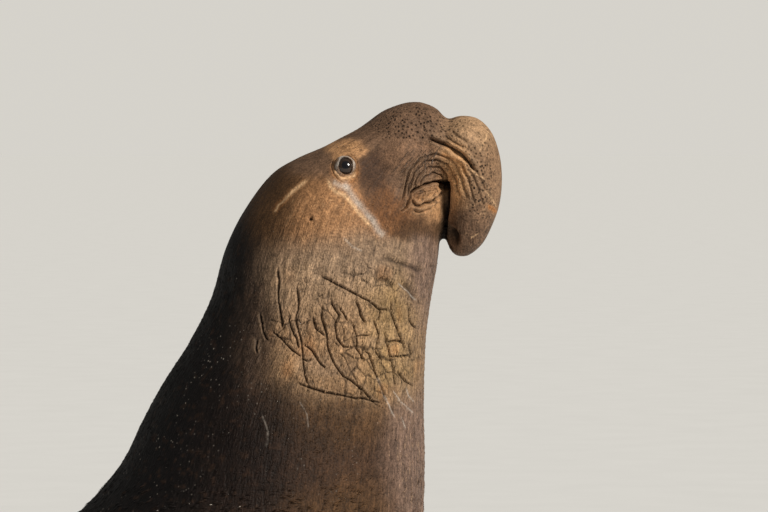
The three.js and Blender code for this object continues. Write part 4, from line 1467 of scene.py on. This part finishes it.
hair_shade = hide.times(hide.from_noise(hair, -0.27, 0.28), streaky)
lock_shade = hide.times(hide.from_noise(lock, -0.2, 0.2), streaky)
shade = hide.plus(hide.plus(hair_shade, lock_shade), 1.0)
shade = hide.times(shade, hide.from_noise(fine, 0.6, 1.4))
shade = hide.less(shade, hide.times(pore_dots, 0.8))
# The fine wrinkle lines are darkened as painted shade.
shade = hide.less(shade, hide.times(craze_lines, 0.1))
shade = hide.times(shade, hide.less(1.0, sand_grains))
fur_and_sand = hide.add("ShaderNodeVectorMath", {"operation": "ADD"})
hide.plug(fur_and_sand.inputs[0], hide.tinted(hide.painted("coat_colour").outputs["Color"], shade))
hide.plug(fur_and_sand.inputs[1], hide.tinted(hide.plain(tone["pale_grey"]), sand_grains))
wetness = hide.painted("wet").outputs["Fac"]
rough = hide.less(hide.from_noise(lock, 0.52, 0.68), hide.times(wetness, 0.34))
height = hide.plus(hide.times(hair, 0.55), hide.times(lock, 0.5))
height = hide.times(height, streaky)
height = hide.plus(height, hide.times(fine, 0.34))
height = hide.less(height, hide.times(craze_lines, 0.2))
height = hide.less(height, hide.times(pore_dots, 0.5))
hide.finish(fur_and_sand.outputs[0], rough, height, 1.0, 0.005, Specular_IOR_Level=DULL)
print("hide material:", len(hide.tree.nodes), "nodes")

# %% [markdown]
# The skin is now one object. It stands for every flesh node of the solids at once, so the solids
# stay, hidden, for the physics while the skin shows.

# %% The skin object
FLESH = ["nose", "head", "lower_jaw", "neck", "chest", "belly", "rump", "tail"]
for side_name in SIDES:
    FLESH += [f"ear_{side_name}", f"foreflipper_{side_name}", f"hind_flipper_{side_name}"]


def seal_piece(name, mesh, material, slot, *nodes):
    """Makes a mesh a piece of the seal, in place of the nodes that it stands for."""
    mesh.name = name
    mesh.materials.append(material)
    mesh.polygons.foreach_set("use_smooth", [True] * len(mesh.polygons))
    piece = bpy.data.objects.new(name, mesh)
    bpy.context.scene.collection.objects.link(piece)
    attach(piece, "root")
    if nodes:
        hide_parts(*nodes)
    return piece


seal_piece("hide", skin_mesh, hide.material, "hide", *FLESH)
print("hide:", len(skin_mesh.polygons), "faces in place of", len(FLESH), "solids")

# %% [markdown]
# A seal's eye is a large dark ball with a clear cornea, wet, and shaded by its lids. Here it is a
# sphere with a slight bulge in front. Each point knows its angle from the way the eye looks,
# which gives pupil, brown iris and the grey edge, and a clear coat makes the wet gloss.

# %% The eyes
IRIS_EDGE = 46  # degrees from the way the eye looks
EYE_SEGMENTS = (64, 48)
CORNEA_RISE = 0.07

wet_eye = Nodes("wet_eye")
turn_away = wet_eye.painted("from_gaze").outputs["Fac"]
ramp = wet_eye.add("ShaderNodeValToRGB", None, Fac=turn_away)
stops = ((0.0, (0.004, 0.004, 0.006)), (0.17, (0.005, 0.005, 0.007)), (0.22, (0.03, 0.017, 0.01)),
         (0.42, (0.022, 0.013, 0.009)), (0.5, (0.008, 0.007, 0.008)), (0.6, (0.075, 0.07, 0.07)))
for stop in stops[1:-1]:
    ramp.color_ramp.elements.new(stop[0])
for element, (position, colour) in zip(ramp.color_ramp.elements, stops):
    element.position = position
    element.color = (*colour, 1)
fibres = wet_eye.noise(wet_eye.stretched(wet_eye.painted("eye_place").outputs["Vector"], (2, 22, 1)), 4.0)
iris_colour = wet_eye.tinted(ramp.outputs["Color"], wet_eye.from_noise(fibres, 0.6, 1.5))
wet_eye.finish(iris_colour, wet_eye.from_noise(fibres, 0.1, 0.2), fibres, 0.1, 0.0004,
               Coat_Weight=0.6, Specular_IOR_Level=0.25, Coat_Roughness=0.03)

for side_name, (ball, eye_radius, out, ahead, above) in sockets.items():
    ball_shape = bmesh.new()
    bmesh.ops.create_uvsphere(ball_shape, u_segments=EYE_SEGMENTS[0], v_segments=EYE_SEGMENTS[1], radius=1)
    eye_mesh = bpy.data.meshes.new("eyeball")
    ball_shape.to_mesh(eye_mesh)
    ball_shape.free()
    unit = coordinates(eye_mesh)
    turned = unit[:, [2]] * out + unit[:, [0]] * ahead + unit[:, [1]] * above
    from_gaze = np.degrees(np.arccos(np.clip(unit[:, 2], -1, 1)))
    bulge = 1 + CORNEA_RISE * ease((IRIS_EDGE - from_gaze) / 30)
    put_back(eye_mesh, ball + turned * eye_radius * bulge[:, None])
    store(eye_mesh, "from_gaze", from_gaze / 100)
    spokes = np.stack([from_gaze / 30, np.arctan2(unit[:, 1], unit[:, 0]) / np.pi, 0 * from_gaze], axis=1)
    store(eye_mesh, "eye_place", spokes, "FLOAT_VECTOR")
    seal_piece(f"eyeball_{side_name}", eye_mesh, wet_eye.material, "eyeball", f"eye_{side_name}")
    print("eyeball", side_name, "radius", round(eye_radius, 4), "at", ball.round(3))

# %% [markdown]
# Five claws sit on the ends of each foreflipper's fingers. A claw is a curved horn with a ridge
# on top, swept along the finger's line from under the skin to past its tip. Its material has the
# growth lines of horn along it, darker at the root.

# %% The claws
CLAW_LENGTH = 52
CLAW_COLOUR = (0.055, 0.043, 0.034)
CLAW_RINGS = (44, 24)
CLAW_FLOOR_GAP = 0.3 * MM
CLAW_STATIONS = ((-0.62, 3, 5.4), (-0.2, 5, 6.8), (0.14, 3.5, 4.9), (0.38, -4, 1.6))

horn = Nodes("claw_horn")
horn_place = horn.painted("claw_place").outputs["Vector"]
grain = horn.noise(horn.stretched(horn_place, (14, 60, 60)), 4.0)
growth = horn.noise(horn.stretched(horn_place, (160, 4, 4)), 2.0)
to_tip = horn.add("ShaderNodeSeparateXYZ", None, Vector=horn_place).outputs["X"]
horn_shade = horn.times(horn.from_noise(grain, 0.6, 1.4), horn.from_noise(growth, 0.8, 1.2))
horn_shade = horn.times(horn_shade, horn.spread(to_tip, 0.0, 1.0, 0.7, 1.5))
horn_colour = horn.tinted(horn.plain(CLAW_COLOUR), horn_shade)
horn.finish(horn_colour, horn.from_noise(grain, 0.3, 0.5), horn.plus(grain, growth), 0.6, 0.0006)

for side_name, side in SIDES.items():
    for index in range(len(FORE_DIGITS)):
        reach = CLAW_LENGTH / FORE_DIGITS[index][0]
        stations = []
        for share, rise, half in CLAW_STATIONS:
            place_on_finger = fore_digit_at(index, side, 1 + share * reach)
            raised = (place_on_finger[0], place_on_finger[1], place_on_finger[2] + rise)
            stations.append((raised, half, half * 0.86))
        rings = limb_rings(stations, UPRIGHT, *CLAW_RINGS, 0.2)
        rings[:, :, 2] = np.maximum(rings[:, :, 2], CLAW_FLOOR_GAP)
        claw_mesh = tube_mesh("claw", rings)
        ring_share = np.repeat(np.linspace(0, 1, CLAW_RINGS[0]), CLAW_RINGS[1])
        turn = np.tile(np.linspace(0, 2 * np.pi, CLAW_RINGS[1], endpoint=False), CLAW_RINGS[0])
        claw_place = np.stack([ring_share, np.cos(turn) * 0.1, np.sin(turn) * 0.1], axis=1)
        store(claw_mesh, "claw_place", np.vstack([claw_place, [[0, 0, 0], [1, 0, 0]]]), "FLOAT_VECTOR")
        seal_piece(f"horn_{side_name}_{index + 1}", claw_mesh, horn.material, "nail",
                   f"claw_{side_name}_{index + 1}")
print("claws:", len(FORE_DIGITS) * 2)

# %% [markdown]
# Whiskers grow in rows from the pad above the mouth, with a few bristles over the eye. Each is a
# thin tapered tube that leaves the skin steeply and bends down and back. They are placed on the
# skin by looking for its nearest point to a place in the picture, so none floats.

# %% Whiskers
WHISKER_ROWS = 5
WHISKERS_IN_ROW = 6
WHISKER_FROM = (399, 168)
ROW_STEP = (2.4, -4.0)
STEP_IN_ROW = (6.2, -0.9)
UNEVEN = 0.7
WHISKER_THICK = 0.9 * MM
BROW_THICK = 0.7 * MM
WHISKER_COLOUR = (0.045, 0.032, 0.024)
WHISKER_RINGS = (9, 6)
BROW_BRISTLES = [(338, 147), (344, 145.5), (350, 145.5), (356, 147), (362, 149.5)]

bristle_random = np.random.default_rng(5)
final_normals = numbers(skin_mesh.vertices, "normal", 3)


def bristle(root, out, sideways, length, thick):
    """Rings of one bent hair."""
    share = np.linspace(0, 1, WHISKER_RINGS[0])
    path = root + out * (length * share * (1 - 0.3 * share))[:, None]
    path = path + sideways * (0.55 * length * share**2)[:, None]
    path -= out * 0.002
    across = np.cross(out, sideways)
    across /= np.linalg.norm(across)
    other = np.cross(across, out)
    around = np.linspace(0, 2 * np.pi, WHISKER_RINGS[1], endpoint=False)
    girth = thick * (1 - 0.85 * share)
    ring = across * np.cos(around)[:, None] + other * np.sin(around)[:, None]
    return path[:, None, :] + ring[None] * girth[:, None, None]


def joined_tubes(name, tubes):
    """Many closed tubes in one mesh."""
    work = bmesh.new()
    for rings in tubes:
        single = tube_mesh("single", rings)
        work.from_mesh(single)
        bpy.data.meshes.remove(single)
    mesh = bpy.data.meshes.new(name)
    work.to_mesh(mesh)
    work.free()
    return mesh


bristle_roots = []
for rank in range(WHISKER_ROWS):
    for order in range(WHISKERS_IN_ROW):
        u = WHISKER_FROM[0] + STEP_IN_ROW[0] * order + ROW_STEP[0] * rank + bristle_random.normal(0, UNEVEN)
        v = WHISKER_FROM[1] + ROW_STEP[1] * rank + STEP_IN_ROW[1] * order + bristle_random.normal(0, UNEVEN)
        length = 0.020 + 0.006 * order + bristle_random.uniform(0, 0.012)
        bristle_roots.append((u, v, length, WHISKER_THICK))
bristle_roots += [(u, v, bristle_random.uniform(0.018, 0.03), BROW_THICK) for u, v in BROW_BRISTLES]
tubes = []
for side in SIDES.values():
    own_side = np.flatnonzero((rest_points[:, 1] * side > 0.03) & (high_up > 1.4))
    for u, v, length, thick in bristle_roots:
        nearest = own_side[np.argmin(np.hypot(column[own_side] - u, row[own_side] - v))]
        out = final_normals[nearest] + (-0.35, 0, -0.15)
        out /= np.linalg.norm(out)
        sideways = np.array((-0.45, 0.1 * side, -0.9))
        tubes.append(bristle(moved[nearest], out, sideways, length, thick))

bristles = Nodes("whisker_horn")
tint = bristles.noise(bristles.stretched(bristles.add("ShaderNodeTexCoord").outputs["Object"], (90, 90, 90)))
whisker_colour = bristles.tinted(bristles.plain(WHISKER_COLOUR), bristles.from_noise(tint, 0.5, 2.2))
bristles.finish(whisker_colour, bristles.from_noise(tint, 0.32, 0.5), tint, 0.3, 0.0003)
seal_piece("whiskers", joined_tubes("whiskers", tubes), bristles.material, "nail")
print("whiskers and brow bristles:", len(tubes))

# %% [markdown]
# The coat is short and lies flat, so most of it is in the bump. Small tufts stand over it where it
# breaks the outline. Each is a thin closed blade of solid mesh, rooted in the skin, which leans
# along the lie of the hair from head to tail. It takes the colour of its root, so coat and skin
# carry the same marks, and its patch in the unwrap lies at its root's place.

# %% The coat
COAT_PIECES = 4
TUFTS_IN_PIECE = 14000
TUFT_PATCH = 0.003
BLADE_FLAT = ((-0.5, -0.5), (0.5, -0.5), (0, -0.3), (-0.3, 0), (0.3, 0), (0, 0.1), (0, 0.5))
BLADE_FACES = ((0, 1, 2), (0, 3, 4), (0, 4, 1), (1, 4, 5), (1, 5, 2), (2, 5, 3), (2, 3, 0),
               (3, 6, 4), (4, 6, 5), (5, 6, 3))
TUFT_SIZES = {  # length, half width and half thickness in millimetres, and how densely they stand
    "body": (19, 2.0, 0.6, 1.0),
    "neck": (11, 1.4, 0.45, 2.2),
    "head": (6, 0.9, 0.3, 3.0),
    "nose": (3.5, 0.7, 0.25, 3.0),
    "limbs": (9, 1.4, 0.6, 1.4),
    "hind": (8, 1.3, 0.6, 1.4),
}
LEAN = 0.07
LIE_ON_BACK = (-1.0, 0, -0.12)
LIE_ON_NECK = (-0.22, 0, -1.0)
LIE_ON_CROWN = (-0.86, 0, -0.5)
BLADE_GAP = 0.3 * MM  # between the floor and a blade's upper points
ROOT_GAP = 0.2 * MM
BLADE_SHADES = (1.0, 1.0, 1.03, 1.06, 1.06, 1.1, 1.18)  # from root to tip
SANDY_SHARE = 0.1
ZONE_OF_REGION = (0, 2, 3, 4, 4, 5, 5)
NECK_TOP = 1.46
FURRED_FROM = 0.3

coat = Nodes("seal_coat")
hair_place = coat.painted("fur_place").outputs["Vector"]
strand = coat.noise(coat.stretched(hair_place, HAIR_STRETCH), 2.0)
clump = coat.noise(coat.stretched(hair_place, LOCK_STRETCH), 3.0)
hair_shade = coat.times(coat.from_noise(strand, 0.82, 1.2), coat.from_noise(clump, 0.88, 1.14))
hair_colour = coat.tinted(coat.painted("coat_colour").outputs["Color"], hair_shade)
coat.finish(hair_colour, coat.from_noise(clump, 0.5, 0.66), strand, 0.3, 0.0006, Specular_IOR_Level=DULL)


def lie_of_hair(points, zone):
    """The way the hair points: down the neck, back along the body, and out along the flippers."""
    share = np.clip((points[:, 2] - 0.75) / 0.5, 0, 1)[:, None]
    lie = (1 - ease(share)) * np.array(LIE_ON_BACK) + ease(share) * np.array(LIE_ON_NECK)
    on_crown = ease((points[:, 2:3] - 1.62) / 0.16)
    lie = lie * (1 - on_crown) + on_crown * np.array(LIE_ON_CROWN)
    on_arms = (zone == 3) | (zone == 4)
    lie[on_arms] = np.stack([np.full(on_arms.sum(), ARM_LIE[0]), np.sign(points[on_arms, 1]) * ARM_LIE[1],
                             np.full(on_arms.sum(), -0.12)], axis=1)
    lie[zone >= 5] = (-1.0, 0, 0)
    return lie


def coat_mesh(name, seed):
    """One piece of the coat: thousands of small closed blades."""
    rng = np.random.default_rng(seed)
    picked = rng.choice(len(face_share), TUFTS_IN_PIECE, p=face_share)
    corner = quad_corners[picked]
    a, b = rng.random((2, TUFTS_IN_PIECE, 1))
    blend = [(1 - a) * (1 - b), a * (1 - b), a * b, (1 - a) * b]
    root = sum(w * moved[corner[:, k]] for k, w in enumerate(blend))
    rest_root = sum(w * rest_points[corner[:, k]] for k, w in enumerate(blend))
    colour = sum(w * paint[corner[:, k]] for k, w in enumerate(blend))
    lie_place = sum(w * fur_place[corner[:, k]] for k, w in enumerate(blend))
    cover = furred[corner].min(axis=1)
    out = final_normals[corner].mean(axis=1)
    out /= np.linalg.norm(out, axis=1, keepdims=True)
    zone = face_zone[picked]
    size = tuft_table[zone]
    lie = lie_of_hair(rest_root, region[corner[:, 0]]) + rng.normal(0, 0.13, (TUFTS_IN_PIECE, 3))
    lie -= out * (lie * out).sum(1)[:, None]
    lie /= np.maximum(np.linalg.norm(lie, axis=1, keepdims=True), 1e-6)
    across = np.cross(out, lie)
    scale = rng.uniform(0.6, 1.25, (TUFTS_IN_PIECE, 1)) * (0.25 + 0.75 * cover[:, None])
    sandy = (rng.random(TUFTS_IN_PIECE) < SANDY_SHARE) & (colour.mean(1) < 0.03)
    sandy &= rng.random(TUFTS_IN_PIECE) < ease((rest_root[:, 2] - 0.6) / 0.6)
    scale[sandy] *= 0.5
    length, wide, thick = (size[:, [k]] * MM * scale for k in range(3))
    lean = LEAN * rng.uniform(0.5, 1.6, (TUFTS_IN_PIECE, 1))
    base = root - out * 0.8 * MM
    middle = base + lie * length * 0.5 + out * (length * lean + thick * 0.6)
    tip = base + lie * length + out * (length * lean * 0.9)
    tip[:, 2] = np.maximum(tip[:, 2], BLADE_GAP)
    middle[:, 2] = np.maximum(middle[:, 2], BLADE_GAP)
    rows_of_points = [
        base + across * wide * 0.7, base - across * wide * 0.7, base + out * thick * 1.4,
        middle + across * wide, middle - across * wide, middle + out * thick, tip,
    ]
    vertices = np.stack(rows_of_points, axis=1).reshape(-1, 3)
    vertices[:, 2] = np.maximum(vertices[:, 2], ROOT_GAP)
    faces = np.arange(TUFTS_IN_PIECE)[:, None, None] * len(rows_of_points) + np.array(BLADE_FACES)
    faces = faces.reshape(-1, 3)
    mesh = bpy.data.meshes.new(name)
    mesh.vertices.add(len(vertices))
    mesh.loops.add(len(faces) * 3)
    mesh.polygons.add(len(faces))
    mesh.vertices.foreach_set("co", vertices.ravel())
    mesh.loops.foreach_set("vertex_index", faces.ravel().astype(np.int32))
    mesh.polygons.foreach_set("loop_start", np.arange(0, len(faces) * 3, 3, dtype=np.int32))
    mesh.update(calc_edges=True)
    colour = colour * rng.uniform(0.88, 1.12, (TUFTS_IN_PIECE, 1))
    colour[sandy] = tone["pale_grey"]
    painted = (colour[:, None, :] * np.array(BLADE_SHADES)[None, :, None]).reshape(-1, 3)
    store(mesh, "coat_colour", with_alpha(painted), "FLOAT_COLOR")
    offset = np.zeros((1, len(rows_of_points), 3))
    offset[0, :, 0] = np.array((0, 0, 0, 1, 1, 1, 2)) * 0.004
    store(mesh, "fur_place", (lie_place[:, None, :] + offset).reshape(-1, 3), "FLOAT_VECTOR")
    on_unwrap = on_sheet(rest_root, face_chart[picked])
    patch = np.array(BLADE_FLAT) * TUFT_PATCH
    point_uv = np.clip((on_unwrap[:, None, :] + patch[None]).reshape(-1, 2), 0, 1)
    layer = mesh.uv_layers.new(name="OFBake")
    layer.data.foreach_set("uv", point_uv[faces.ravel()].ravel())
    return mesh


quad_corners = np.stack([loop_vertex[np.cumsum(loop_count) - loop_count + np.minimum(k, loop_count - 1)]
                         for k in range(4)], axis=1)
tuft_table = np.array([size[:3] for size in TUFT_SIZES.values()])
face_region = region_of(face_centres)
face_zone = np.array(ZONE_OF_REGION)[face_region]
face_zone[(face_region == 1) & (face_centres[:, 2] < NECK_TOP)] = 1
areas = numbers(skin_mesh.polygons, "area")
density = np.array([size[3] for size in TUFT_SIZES.values()])[face_zone]
face_share = areas * density * (furred[quad_corners].min(axis=1) > FURRED_FROM)
face_share /= face_share.sum()
for piece in range(COAT_PIECES):
    mesh = coat_mesh(f"coat_{piece + 1}", 40 + piece)
    seal_piece(f"coat_{piece + 1}", mesh, coat.material, "hide")
    print("coat piece", piece + 1, ":", len(mesh.polygons), "triangles")

# %% [markdown]
# The stage is a pale floor that runs far out under a pale sky, with one large soft lamp high in
# front of the animal, where the sun stands in the picture, and little light from the other side.
# The sky looks brighter to the camera than it shines on the seal, which keeps the back dark.

# %% The stage
FLOOR_REACH = 400
FLOOR_COLOUR = (0.78, 0.79, 0.80)
SKY_COLOUR = (1.0, 0.966, 0.892)
SUN_COLOUR = (1.0, 0.95, 0.86)
SUN_AWAY = 6
SUN_STRENGTH = 3.8
SUN_SOFTNESS = math.radians(14)
SUN_FROM = Vector((0.75, -0.62, 0.72))
SKY_LIGHT = 0.17
SKY_SEEN = 0.6695

floor_paint = Nodes("pale_floor")
floor_place = floor_paint.add("ShaderNodeTexCoord").outputs["Object"]
speck = floor_paint.noise(floor_paint.stretched(floor_place, (3, 3, 3)), 4.0)
floor_shade = floor_paint.from_noise(speck, 0.985, 1.015)
floor_paint.plug(floor_paint.shader.inputs["Base Color"],
                 floor_paint.tinted(floor_paint.plain(FLOOR_COLOUR), floor_shade))
floor_paint.shader.inputs["Roughness"].default_value = 0.85
floor_paint.shader.inputs["Specular IOR Level"].default_value = 0.1
floor_mesh = bpy.data.meshes.new("floor")
corners = [(-1, -1), (1, -1), (1, 1), (-1, 1)]
floor_mesh.from_pydata([(x * FLOOR_REACH, y * FLOOR_REACH, 0) for x, y in corners], [], [(0, 1, 2, 3)])
floor_mesh.materials.append(floor_paint.material)
floor = bpy.data.objects.new("floor", floor_mesh)
bpy.context.scene.collection.objects.link(floor)
floor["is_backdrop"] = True

world = bpy.data.worlds.new("studio")
bpy.context.scene.world = world
world.use_nodes = True
sky_nodes = world.node_tree
background = sky_nodes.nodes["Background"]
background.inputs["Color"].default_value = (*SKY_COLOUR, 1)
seen = sky_nodes.nodes.new("ShaderNodeLightPath")
brightness = sky_nodes.nodes.new("ShaderNodeMapRange")
brightness.inputs["To Min"].default_value = SKY_LIGHT
brightness.inputs["To Max"].default_value = SKY_SEEN
sky_nodes.links.new(seen.outputs["Is Camera Ray"], brightness.inputs["Value"])
sky_nodes.links.new(brightness.outputs["Result"], background.inputs["Strength"])

sun_data = bpy.data.lights.new("soft_sun", "SUN")
sun_data.energy = SUN_STRENGTH
sun_data.angle = SUN_SOFTNESS
sun_data.color = SUN_COLOUR
sun = bpy.data.objects.new("soft_sun", sun_data)
sun.rotation_euler = SUN_FROM.to_track_quat("Z", "Y").to_euler()
sun.location = aim + SUN_FROM * SUN_AWAY
bpy.context.scene.collection.objects.link(sun)
bpy.context.scene.view_settings.view_transform = "Standard"
print("stage set, sun from", [round(c, 2) for c in SUN_FROM.normalized()])

# %% [markdown]
# Last, the box of the solids and the box of the dressed animal are written side by side.

# %% The size
visual_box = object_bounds()
sizes = {"cad": [list(c) for c in solid_box], "visual": [list(c) for c in visual_box]}
for name, (low, high) in sizes.items():
    print(name, "from", [round(c, 3) for c in low], "to", [round(c, 3) for c in high])
